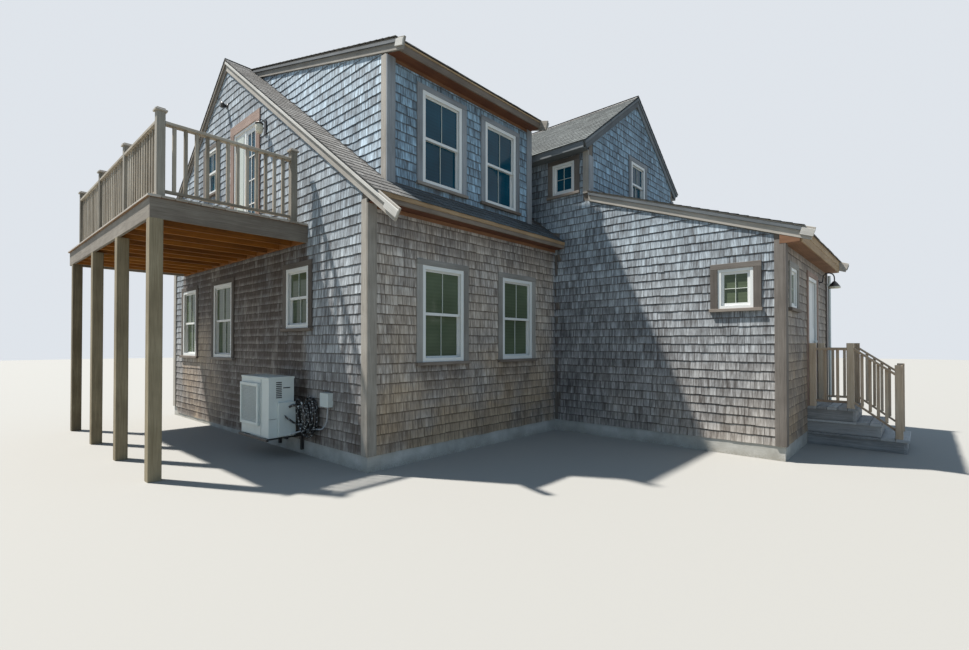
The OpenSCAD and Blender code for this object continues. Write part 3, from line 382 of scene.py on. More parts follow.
@dataclass(frozen=True)
class CedarShingle:
    """Weathered white cedar: each shingle has its own grey, with fine upright grain and dark stains, and with
    painted light and shade: sky blue, brightening, warm bounce light and a dark band under each course.
    """

    dark: Triple = (0.060, 0.060, 0.063)
    middle: Triple = (0.225, 0.230, 0.238)
    pale: Triple = (0.56, 0.57, 0.58)
    # tan and bark: the browns of the tan mixed in, which is partly painted warm bounce light
    tan: Triple = (0.50, 0.385, 0.265)
    bark: Triple = (0.17, 0.122, 0.08)
    # painted sky blue: the blue of skylight on the walls, multiplied into the colour
    painted_sky_blue: Triple = (0.62, 0.97, 1.24)
    # painted light: a brightening multiplied into the colour
    painted_brightening: Triple = (1.5, 1.48, 1.46)
    # the stain colour, also used for painted shade
    stain_and_shade: Triple = (0.040, 0.026, 0.018)

    def build(self) -> Material:
        """Makes the material from the shingles' marks and from the marks of stain and of painted light and
        shade.
        """
        g = Finish("cedar_shingle")
        tone, rise = g.attribute("tone"), g.attribute("rise")
        shift = g.node("ShaderNodeCombineXYZ", {"Z": g.times(tone, 37.0)}).outputs[0]
        fine = g.noise(g.position((90, 90, 5), shift), 1.0, 4.0, 0.65)
        streak = g.noise(g.position((22, 22, 1.6), shift))
        run = g.noise(g.position((60, 60, 2.2), shift), 1.0, 2.0)
        patch = g.noise(g.position(), 1.3)
        value = g.weigh(g.times(tone, 0.17), (streak, 1.3), (fine, 1.2), (patch, 0.6))
        colour = g.ramp(g.plus(value, 0.37), (0.08, self.dark), (0.42, self.middle), (0.85, self.pale))
        # painted sky blue, as strong as its mark
        colour = g.mix(g.attribute("painted_sky_blue"), colour, self.painted_sky_blue, "MULTIPLY")
        # painted light: brightening where its mark is set
        colour = g.mix(g.attribute("painted_brightening"), colour, self.painted_brightening, "MULTIPLY")
        # tan mixed in: partly the walls' own tan and partly painted warm light bounced from the ground
        tan_and_painted_bounce = g.times(g.attribute("tan_and_painted_bounce"), g.span(patch, 0.12, 0.6), True)
        colour = g.mix(tan_and_painted_bounce, colour, g.mix(g.span(value, -0.3, 0.42), self.bark, self.tan))
        blot = g.plus(g.noise(g.position((1, 1, 0.3)), 4.2, 4.0, 0.65), g.times(streak, 0.4))
        # stains, and under the deck also painted shade of the deck, as strong as the mark
        stain_and_shade = g.times(g.attribute("stain_and_shade"), g.span(blot, 0.5, 0.74), True)
        stain_and_shade = g.times(stain_and_shade, g.plus(g.times(g.span(rise, 0.02, 0.42), 0.5), 0.42))
        colour = g.mix(stain_and_shade, colour, self.stain_and_shade)
        drip = g.times(g.times(g.span(rise, 0.1, 0.95), g.span(run, 0.48, 0.7)), 0.6)
        # painted shade: a dark band at the top of each shingle's exposure, under the butt of the course above
        lap = g.times(g.span(rise, 0.72, 0.88), 0.8)
        # the mix takes the drip stains, the painted shade band and the dark joints
        colour = g.mix(g.most(drip, lap, g.times(g.joint(0.007), 0.5)), colour, self.stain_and_shade)
        height = g.plus(g.times(fine, 0.7), g.times(streak, 0.5))
        return g.finish(colour, g.span(fine, -1.2, 1.1), height, 0.0016)


@dataclass(frozen=True)
class Lumber:
    """Sawn timber whose grain follows each board's own length."""

    name: str
    dark: Triple
    middle: Triple
    pale: Triple
    under: Triple | None = None
    roughness: float = 0.8

    def build(self) -> Material:
        """Makes the material from the boards' grain and tone, with another colour on faces that look down."""
        g = Finish(self.name)
        grain = g.attribute("grain", "Vector")
        fibre = g.noise(g.scaled(grain, (3.0, 120, 120)), 1.0, 4.0, 0.7)
        flow = g.noise(g.scaled(grain, (0.9, 22, 22)))
        check = g.span(g.noise(g.scaled(grain, (1.6, 260, 60)), 1.0, 1.0), 0.7, 0.74)
        value = g.plus(g.times(g.attribute("tone"), 0.4), g.times(flow, 0.35))
        value = g.weigh(value, (fibre, 0.75), (g.noise(g.position(), 2.2), 0.5))
        colour = g.ramp(value, (0.1, self.dark), (0.42, self.middle), (0.8, self.pale))
        colour = g.mix(g.times(check, 0.7), colour, self.dark)
        if self.under is not None:
            down = g.part(g.node("ShaderNodeNewGeometry").outputs["Normal"], 2)
            colour = g.mix(g.span(down, -0.3, -0.7), colour, g.mix(flow, self.under, self.dark))
        return g.finish(colour, self.roughness, g.math("SUBTRACT", g.times(fibre, 0.7), check), 0.0012)


@dataclass(frozen=True)
class RoofShingle:
    """Mineral-faced roof shingle with mixed granules and a tone for each tab."""

    name: str
    dark: Triple
    middle: Triple
    pale: Triple
    # painted shade: the navy multiplied into the strip in the dormer's shadow
    painted_dormer_shade: Triple = (0.30, 0.42, 0.52)

    def build(self) -> Material:
        """Makes the material from the tabs' tone, rise, near and far attributes and from the painted shade in
        front of the dormer.
        """
        g = Finish(self.name)
        speck = g.noise(g.position(), 320.0, 2.0, 0.8)
        grit = g.noise(g.position(), 34.0, 3.0, 0.7)
        patch = g.noise(g.position(), 1.1)
        value = g.weigh(g.times(g.attribute("tone"), 0.27), (patch, 0.4), (speck, 0.6), (grit, 1.4))
        colour = g.ramp(g.plus(value, 0.33), (0.08, self.dark), (0.47, self.middle), (0.92, self.pale))
        # painted shade of the dormer on the strip in front of it
        colour = g.mix(g.attribute("painted_dormer_shade"), colour, self.painted_dormer_shade, "MULTIPLY")
        # painted shade: a dark band at the top of each tab's exposure, under the butt of the course above;
        # the joints are dark too
        edge = g.most(g.joint(0.010), g.span(g.attribute("rise"), 0.68, 0.8))
        return g.finish(g.mix(g.times(edge, 0.6), colour, self.dark), 0.92, speck, 0.0012)


@dataclass(frozen=True)
class Painted:
    """Paint, vinyl or enamel with faint dirt."""

    name: str
    colour: Triple
    roughness: float
    dirt: float
    soil: Triple = (0.2, 0.18, 0.15)

    def build(self) -> Material:
        """Makes the material from object coordinates alone."""
        g = Finish(self.name)
        patch = g.noise(g.position(), 5.0, 5.0, 0.65)
        colour = g.mix(g.times(g.span(patch, 0.45, 0.75), self.dirt), self.colour, self.soil)
        rough = g.plus(g.times(patch, 0.15), self.roughness - 0.07)
        return g.finish(colour, rough, g.noise(g.position(), 140.0, 2.0), 0.0002)


@dataclass(frozen=True)
class Hose:
    """Black pipe insulation wrapped in glossy tape, with painted glints: small pale spots that stand for
    highlights.
    """

    base: Triple = (0.012, 0.013, 0.015)
    glint: Triple = (0.50, 0.53, 0.54)

    def build(self) -> Material:
        """Makes the material from object coordinates alone."""
        g = Finish("hose_black")
        # painted glints: pale spots mixed into the black
        painted_glints = g.span(g.noise(g.position((1, 1, 2.0)), 26.0, 2.0, 0.5), 0.58, 0.63)
        return g.finish(g.mix(painted_glints, self.base, self.glint), 0.3, g.noise(g.position(), 60.0, 2.0), 0.002)


@dataclass(frozen=True)
class Concrete:
    """Cast foundation concrete, pale above and splashed with soil below."""

    dark: Triple = (0.32, 0.31, 0.28)
    pale: Triple = (0.50, 0.49, 0.46)
    soil: Triple = (0.20, 0.17, 0.12)
    splash_z: float = 0.12

    def build(self) -> Material:
        """Makes the material from object coordinates alone."""
        g = Finish("foundation_concrete")
        coarse = g.noise(g.position(), 3.5, 5.0, 0.6)
        pits = g.noise(g.position(), 45.0, 3.0, 0.7)
        colour = g.ramp(coarse, (0.3, self.dark), (0.7, self.pale))
        splash = g.times(g.span(g.part(g.position(), 2), self.splash_z, 0.0), g.span(pits, 0.35, 0.65))
        return g.finish(g.mix(g.times(splash, 0.6), colour, self.soil), 0.9, g.plus(pits, coarse), 0.002)


@dataclass(frozen=True)
class Glazing:
    """Window glass over a dark room with a sharp gloss."""

    low: Triple = (0.100, 0.128, 0.078)
    high: Triple = (0.004, 0.058, 0.095)
    storey: Pair = (3.2, 3.6)
    slats: float = 125.0

    def build(self) -> Material:
        """Makes the material: olive with the slats of a blind below, and teal above."""
        g = Finish("glazing")
        height = g.part(g.position(), 2)
        sweep = g.noise(g.position((0.8, 0.8, 1.4)), 1.6, 2.0)
        slats = g.math("SINE", g.times(height, self.slats), 0.0)
        shade = g.plus(g.times(slats, 0.05), g.plus(g.times(sweep, 0.9), 0.4))
        grey = g.node("ShaderNodeCombineColor", {0: shade, 1: shade, 2: shade}).outputs[0]
        colour = g.mix(1.0, g.mix(g.span(height, *self.storey), self.low, self.high), grey, "MULTIPLY")
        g.shader.inputs["Specular IOR Level"].default_value = 0.2
        return g.finish(colour, 0.06, g.noise(g.position(), 1.6, 1.0), 0.002)


class Palette(dict[str, Material]):
    """Every finish of the house by name, each built once."""

    def __init__(self) -> None:
        """Builds the materials. A timber's three tones are the dark, the middle and the pale of its grain."""
        super().__init__(cedar=CedarShingle().build(), hose=Hose().build(), concrete=Concrete().build(),
                         glass=Glazing().build())
        timbers = {
            "trim": ((0.10, 0.085, 0.07), (0.20, 0.18, 0.155), (0.34, 0.315, 0.28)),
            "rake": ((0.14, 0.127, 0.11), (0.26, 0.24, 0.21), (0.41, 0.385, 0.345)),
            "crown": ((0.30, 0.285, 0.26), (0.46, 0.45, 0.42), (0.60, 0.585, 0.56)),
            # painted shade: a darker, bluish copy of the trim for boards that lie in shade
            "dim": ((0.06, 0.068, 0.075), (0.115, 0.13, 0.142), (0.20, 0.215, 0.225)),
            "corner": ((0.17, 0.15, 0.125), (0.31, 0.285, 0.25), (0.45, 0.42, 0.38)),
            # painted shade: a bluish copy of the trim for the shaded fronts of the dormer and the gable
            "shaded_blue_trim": ((0.11, 0.115, 0.12), (0.21, 0.225, 0.24), (0.33, 0.345, 0.36)),
            "casing": ((0.16, 0.152, 0.138), (0.275, 0.265, 0.245), (0.385, 0.375, 0.355)),
            "sill": ((0.09, 0.07, 0.055), (0.18, 0.15, 0.125), (0.30, 0.27, 0.24)),
            "jamb": ((0.13, 0.08, 0.06), (0.26, 0.18, 0.145), (0.38, 0.29, 0.25)),
            "soffit": ((0.045, 0.014, 0.006), (0.105, 0.034, 0.014), (0.19, 0.075, 0.03)),
            "frieze": ((0.10, 0.045, 0.02), (0.21, 0.10, 0.048), (0.32, 0.18, 0.10)),
            "eave": ((0.19, 0.12, 0.06), (0.33, 0.225, 0.125), (0.47, 0.36, 0.23)),
            "fascia": ((0.11, 0.085, 0.065), (0.20, 0.163, 0.13), (0.31, 0.265, 0.22)),
            "deck": ((0.15, 0.125, 0.09), (0.305, 0.265, 0.21), (0.47, 0.43, 0.365)),
            "post": ((0.10, 0.078, 0.044), (0.215, 0.175, 0.108), (0.36, 0.31, 0.21)),
            "rail": ((0.10, 0.088, 0.068), (0.205, 0.185, 0.15), (0.33, 0.305, 0.26)),
            "baluster": ((0.24, 0.165, 0.11), (0.46, 0.35, 0.25), (0.62, 0.52, 0.40)),
            "porch": ((0.055, 0.046, 0.039), (0.105, 0.091, 0.079), (0.18, 0.16, 0.142)),
            "step": ((0.18, 0.175, 0.17), (0.35, 0.345, 0.34), (0.50, 0.495, 0.49)),
            "rim": ((0.12, 0.10, 0.08), (0.225, 0.20, 0.165), (0.34, 0.31, 0.27)),
            "under": ((0.12, 0.04, 0.003), (0.29, 0.10, 0.006), (0.43, 0.185, 0.025)),
            "walk": ((0.16, 0.14, 0.11), (0.32, 0.285, 0.24), (0.48, 0.44, 0.39), (0.29, 0.11, 0.016)),
        }
        roofs = {
            "roof": ("", (0.04, 0.04, 0.041), (0.115, 0.11, 0.103), (0.29, 0.29, 0.285)),
            # a darker copy of the roof finish for the wing's slopes: painted shade between the granules, seen
            # at a low angle
            "roof_west": ("_west", (0.021, 0.024, 0.024), (0.062, 0.071, 0.072), (0.15, 0.165, 0.16)),
        }
        paints = {
            "white": ("window_white", (0.66, 0.67, 0.655), 0.42, 0.06),
            "enamel": ("cabinet_enamel", (0.58, 0.625, 0.605), 0.38, 0.1),
            "mesh": ("guard_grey", (0.36, 0.38, 0.39), 0.4, 0.1),
            "panel": ("door_panel", (0.46, 0.50, 0.46), 0.4, 0.05),
            "lamp": ("lamp_glass", (0.60, 0.56, 0.44), 0.15, 0.05),
            "grey": ("grey_enamel", (0.36, 0.38, 0.40), 0.4, 0.15),
            "black": ("black_enamel", (0.02, 0.02, 0.022), 0.4, 0.1),
            "floor": ("inside_boards", (0.30, 0.24, 0.17), 0.5, 0.3),
        }
        self.update({name: Lumber(f"{name}_timber", *tones).build() for name, tones in timbers.items()})
        for name, (end, *tones) in roofs.items():
            self[name] = RoofShingle(f"roof_shingle{end}", *tones).build()
        self.update({name: Painted(*values).build() for name, values in paints.items()})


def add_object(name: str, data: bpy.types.ID) -> bpy.types.Object:
    """Adds an object with a mesh, a light or a camera to the scene."""
    bpy.context.scene.collection.objects.link(bpy.data.objects.new(name, data))
    return bpy.data.objects[name]


def mesh_piece(name: str, points: Array, faces: list[Array], material: Material,
               replaces: Names = (), attributes: Marks | None = None, smooth: bool = False) -> None:
    """Makes a mesh object that rides on the house.

    Args:
        name: the piece's name.
        points: an array of points, its last axis the three coordinates.
        faces: arrays of vertex numbers, one row a face, each array with its own count of corners.
        material: the finish.
        replaces: the nodes that it stands for.
        attributes: point values or vectors by name.
        smooth: True for a round piece, whose four-cornered faces are then shaded smooth.
    """
    points = np.asarray(points, float).reshape(-1, 3)
    mesh = bpy.data.meshes.new(name)
    loops = np.concatenate([f.ravel() for f in faces]).astype(np.int32)
    counts = np.concatenate([np.full(len(f), f.shape[1]) for f in faces]).astype(np.int32)
    mesh.vertices.add(len(points))
    mesh.vertices.foreach_set("co", points.astype(np.float32).ravel())
    mesh.loops.add(len(loops))
    mesh.loops.foreach_set("vertex_index", loops)
    mesh.polygons.add(len(counts))
    mesh.polygons.foreach_set("loop_start", (np.cumsum(counts) - counts).astype(np.int32))
    mesh.polygons.foreach_set("loop_total", counts)
    mesh.polygons.foreach_set("use_smooth", (counts == 4) & smooth)
    for key, values in (attributes or {}).items():
        kind, part = ("FLOAT_VECTOR", "vector") if values.ndim == 2 else ("FLOAT", "value")
        mesh.attributes.new(key, kind, "POINT").data.foreach_set(part, values.astype(np.float32).ravel())
    mesh.update(calc_edges=True)
    mesh.validate()
    mesh.materials.append(material)
    piece = add_object(name, mesh)
    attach(piece, "house")
    if replaces:
        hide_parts(*replaces)
    LOG.info("%s: %d faces", name, len(counts))


BOX_FACES = np.array([(0, 1, 5, 4), (1, 2, 6, 5), (2, 3, 7, 6), (3, 0, 4, 7), (4, 5, 6, 7), (3, 2, 1, 0)])


def block_faces(count: int) -> list[Array]:
    """The faces of a number of blocks of eight points each."""
    return [(np.arange(count)[:, None, None] * 8 + BOX_FACES).reshape(-1, 4)]


class BoardStack:
    """Collects boards with eased edges and makes one mesh of them."""

    def __init__(self, seed: int, ease: float = 0.003) -> None:
        """Starts an empty stack.

        Args:
            seed: seed of the boards' tones and grain.
            ease: width of the eased edge.
        """
        self.rng = np.random.default_rng(seed)
        self.ease = ease
        self.rings: list[Array] = []

    def section(self, start: Array, end: Array, side: Array, over: Array, width: float, thick: float) -> None:
        """Adds a board whose ends are cut square to the world rather than to its length.

        Args:
            start: centre of one end.
            end: centre of the other end.
            side: unit direction of the width.
            over: unit direction of the thickness.
            width: size along side.
            thick: size along over.
        """
        b = min(self.ease, width / 4, thick / 4)
        w, t = width / 2, thick / 2
        u = np.array((w - b, w, w, w - b, b - w, -w, -w, b - w))
        v = np.array((-t, b - t, t - b, t, t, t - b, b - t, -t))
        ring = u[:, None] * side + v[:, None] * over
        self.rings.append(np.stack((start + ring, end + ring)))

    def cut(self, a: Array, b: Array, over: Array, thick: float) -> None:
        """Adds a board between two end edges, each a pair of its lower and upper corner.

        A ring's points go up the edge by k and out of its plane by depth: low + k (high - low) + depth over.

        Args:
            a: lower and upper corner of one end, on the board's middle plane.
            b: lower and upper corner of the other end.
            over: unit direction of the thickness.
            thick: size along over.
        """
        t = thick / 2
        e = min(self.ease, t / 2)
        depth = np.array((e - t, -t, -t, e - t, t - e, t, t, t - e))
        rings = []
        for low, high in (a, b):
            near = e / np.linalg.norm(high - low)
            k = np.array((0.0, near, 1 - near, 1, 1, 1 - near, near, 0))
            rings.append(low + k[:, None] * (high - low) + depth[:, None] * over)
        self.rings.append(np.stack(rings))

    def box(self, lo: Triple, hi: Triple, run: Run) -> None:
        """Adds a board that fills a box, its grain along one axis.

        Args:
            lo: one corner of the box.
            hi: the opposite corner.
            run: the axis of the grain.
        """
        lo, hi = np.minimum(lo, hi).astype(float), np.maximum(lo, hi).astype(float)
        k, a, b = ((run.value + step) % 3 for step in range(3))
        start, end = (lo + hi) / 2, (lo + hi) / 2
        start[k], end[k] = lo[k], hi[k]
        self.section(start, end, np.eye(3)[a], np.eye(3)[b], hi[a] - lo[a], hi[b] - lo[b])

    def flat(self, plane: Plane, rows: list[tuple[Rect, float, bool]], back: float = 0.0) -> None:
        """Adds flat boards on a wall.

        Args:
            plane: the wall.
            rows: for each board its left, right, bottom and top, its thickness and whether it runs level.
            back: distance of the boards' backs from the wall's face.
        """
        for (s0, s1, t0, t1), thick, level in rows:
            s, t, side, width = ((s0 + s1) / 2, np.array((t0, t1)), plane.right, s1 - s0)
            if level:
                s, t, side, width = (np.array((s0, s1)), (t0 + t1) / 2, plane.up, t1 - t0)
            start, end = plane.place(s, t, back + thick / 2)
            along = (end - start) / np.linalg.norm(end - start)
            self.section(start, end, side, np.cross(along, side), width, thick)

    def make(self, name: str, material: Material, slot: str, replaces: Names = ()) -> None:
        """Joins the boards: rings of eight points, joined side by side and closed by end faces.

        A point's grain is its place along, across and through the board, plus three random numbers a board.

        Args:
            name: the piece's name.
            material: the finish.
            slot: the record's material slot; not used.
            replaces: the nodes that it stands for.
        """
        rings = np.array(self.rings)
        count = len(rings)
        base = np.arange(count)[:, None] * 16
        i = np.arange(8)
        j = (i + 1) % 8
        sides = base[:, :, None] + np.stack((i, j, j + 8, i + 8), 1)[None]
        caps = np.concatenate((base + i[::-1], base + 8 + i))
        tone = self.rng.random(count)
        along = rings[:, 1, 0] - rings[:, 0, 0]
        along /= np.linalg.norm(along, axis=1)[:, None]
        local = rings - rings[:, :1].mean(2, keepdims=True)
        u = np.einsum("nrpc,nc->nrp", local, along)
        across = local - u[..., None] * along[:, None, None, :]
        side = across[:, 0, 1] - across[:, 0, 5]
        side /= np.linalg.norm(side, axis=1)[:, None]
        v, w = (np.einsum("nrpc,nc->nrp", across, way) for way in (side, np.cross(along, side)))
        grain = np.stack((u, v, w), -1) + self.rng.random((count, 1, 1, 3)) * 9
        normal = np.cross(rings[:, 0, 1] - rings[:, 0, 0], rings[:, 0, 3] - rings[:, 0, 1])
        flip = np.einsum("nc,nc->n", normal, along) < 0
        sides[flip] = sides[flip][..., ::-1]
        caps[np.tile(flip, 2)] = caps[np.tile(flip, 2)][:, ::-1]
        attributes = {"tone": np.repeat(tone, 16), "grain": grain.reshape(-1, 3)}
        mesh_piece(name, rings, [sides.reshape(-1, 4), caps], material, replaces, attributes)


@dataclass
class Cladding:
    """Overlapping courses on one face, cut round openings and along sloping edges given as s and t arrays."""

    plane: Plane
    left: float
    right: float
    base: float
    top: float
    low: tuple[Array, Array] | None = None
    high: tuple[Array, Array] | None = None
    holes: tuple[Rect, ...] | list[Rect] = ()
    seed: int = 1
    exposure: float = COURSE
    tuck: float = 0.012
    butt: float = 0.0105
    head: float = 0.001
    least: float = 0.075
    most: float = 0.20
    gap: float = 0.003
    sliver: float = 0.006
    end: float = 0.05
    back: float = 0.0004

    def cells(self) -> Array:
        """Every shingle's outline, as rows of left, right, bottom, top and the course's own line."""
        rng = np.random.default_rng(self.seed)
        rows = []
        for line in np.arange(self.base, self.top, self.exposure):
            count = int((self.right - self.left) / self.least) + 3
            widths = self.least + (self.most - self.least) * rng.random(count) ** 1.4
            edges = self.left - rng.random() * self.least + np.concatenate(([0], np.cumsum(widths)))
            inner = (edges > self.left + self.end) & (edges < self.right - self.end)
            edges = np.concatenate(([self.left], edges[inner], [self.right]))
            head = min(line + self.exposure, self.top) + self.tuck
            cut = [h for h in self.holes if h[2] < line + self.exposure and h[3] > line]
            edges = np.unique(np.concatenate([edges, *[np.clip(h[:2], self.left, self.right) for h in cut]]))
            a, b = edges[:-1][np.diff(edges) > self.sliver], edges[1:][np.diff(edges) > self.sliver]
            bottom, top, whole = np.full(len(a), line), np.full(len(a), head), np.ones(len(a), bool)
            for s0, s1, t0, t1 in cut:
                inside = ((a + b) / 2 > s0) & ((a + b) / 2 < s1)
                if t0 > line:
                    top[inside] = np.minimum(top[inside], t0)
                elif t1 < line + self.exposure:
                    bottom[inside] = np.maximum(bottom[inside], t1)
                else:
                    whole &= ~inside
            rows.append(np.stack((a, b, bottom, top, np.full(len(a), line)), 1)[whole])
        return np.concatenate(rows)

    def solids(self) -> tuple[Array, Marks]:
        """The shingles' corners and marks.

        A shingle is a wedge: it stands out by butt at its line and thins to head under the next course.

        Returns:
            Points of shape (n, 8, 3) and, each of shape (n, 8), the shingle's tone, the place up it and the
            distances from its left and right edges.
        """
        rng = np.random.default_rng(self.seed + 77)
        a, b, bottom, top, line = self.cells().T
        bottom = bottom + rng.normal(0, 0.0026, len(a)) * (bottom == line)
        s = np.stack((a + self.gap / 2, b - self.gap / 2), 1)[:, (0, 1, 1, 0)]
        t = np.stack((bottom, bottom, top, top), 1)
        if self.low is not None:
            t = np.maximum(t, np.interp(s, *self.low))
        if self.high is not None:
            t = np.minimum(t, np.interp(s, *self.high))
        keep = np.maximum(t[:, 3] - t[:, 0], t[:, 2] - t[:, 1]) > 0.004
        s, t, line = s[keep], t[keep], line[keep]
        rise = (t - line[:, None]) / (self.exposure + self.tuck)
        thick = self.butt * (0.9 + 0.2 * rng.random(len(s)))[:, None] + rng.normal(0, 0.0005, (len(s), 4))
        n = self.head + (thick - self.head) * (1 - rise)
        points = [self.plane.place(s, t, depth) for depth in (self.back, np.maximum(n, 0.001))]
        tone = rng.random(len(s))[:, None] * np.ones((1, 4))
        marks = {"tone": tone, "rise": rise, "near": s - s[:, :1], "far": s[:, 1:2] - s}
        return np.concatenate(points, 1), {key: np.tile(mark, 2) for key, mark in marks.items()}


def clad(name: str, material: Material, parts: list[Cladding],
         wear: Callable[[Array], Marks]) -> None:
    """Makes one piece from several faces' courses.

    Args:
        name: the piece's name.
        material: the finish.
        parts: the faces.
        wear: a function from points to more attributes.
    """
    made = [part.solids() for part in parts]
    points = np.concatenate([m[0] for m in made])
    marks = {key: np.concatenate([m[1][key] for m in made]).ravel() for key in made[0][1]}
    marks |= wear(points.reshape(-1, 3))
    mesh_piece(name, points, block_faces(len(points)), material, attributes=marks)


@dataclass(frozen=True)
class Opening:
    """A window: its wall, centre along the wall's s, sill height and size, and whether it has two sashes."""

    side: Side
    wall: float
    centre: float
    sill: float
    width: float = 0.80
    height: float = 1.335
    double: bool = True

    @property
    def plane(self) -> Plane:
        """The wall's face."""
        return wall_plane(self.side, self.wall)

    @property
    def glass(self) -> Rect:
        """The window's own outline, as left, right, bottom and top."""
        half = self.width / 2
        return (self.centre - half, self.centre + half, self.sill, self.sill + self.height)

    @property
    def rect(self) -> Rect:
        """The outline of the casing, as left, right, bottom and top."""
        half, top = self.width / 2 + CASING_W, self.sill + self.height
        return (self.centre - half, self.centre + half, self.sill - SILL_H, top + CASING_HEAD)


Windows = dict[str, list[Opening]]


def windows_of(plan: Plan) -> Windows:
    """Every window of the house.

    Args:
        plan: the house's planes.

    Returns:
        The windows by the wall that they are in, made from rows of centre, sill, width, height and sashes.
    """
    low, high = 1.342, 3.49
    small, attic = (0.47, 0.575, False), (0.80, 0.70, False)
    walls = {
        "south": (Side.SOUTH, plan.south, [(1.272, low), (2.975, low)]),
        "west": (Side.WEST, plan.west, [
            (-6.465, low, 0.80, 1.37), (-4.648, low, 0.88, 1.37), (-1.78, 1.824, 0.68, 0.895),
            (-5.25, 4.515, 0.64, 0.885),
        ]),
        "dormer": (Side.SOUTH, plan.dormer, [(1.456, 3.903), (2.80, 3.903)]),
        "wing": (Side.WEST, plan.wing, [(3.095, 2.104, *small), (0.20, 4.341, *small)]),
        "gable": (Side.SOUTH, plan.gable, [(6.08, 4.425, 0.645, 0.87)]),
        "lean": (Side.SOUTH, plan.lean, [(4.70, 2.104, *small)]),
        "east": (Side.EAST, plan.east, [
            *[(y, low) for y in (-2.2, 1.9, 5.3)], *[(y, high, 0.80, 1.0) for y in (1.9, 5.3)],
        ]),
        "north": (Side.NORTH, plan.north, [
            *[(-x, low) for x in (1.3, 2.9, 6.03)], *[(-x, high, *attic) for x in (2.055, 6.03)],
        ]),
    }
    return {name: [Opening(side, at, *row) for row in rows] for name, (side, at, rows) in walls.items()}


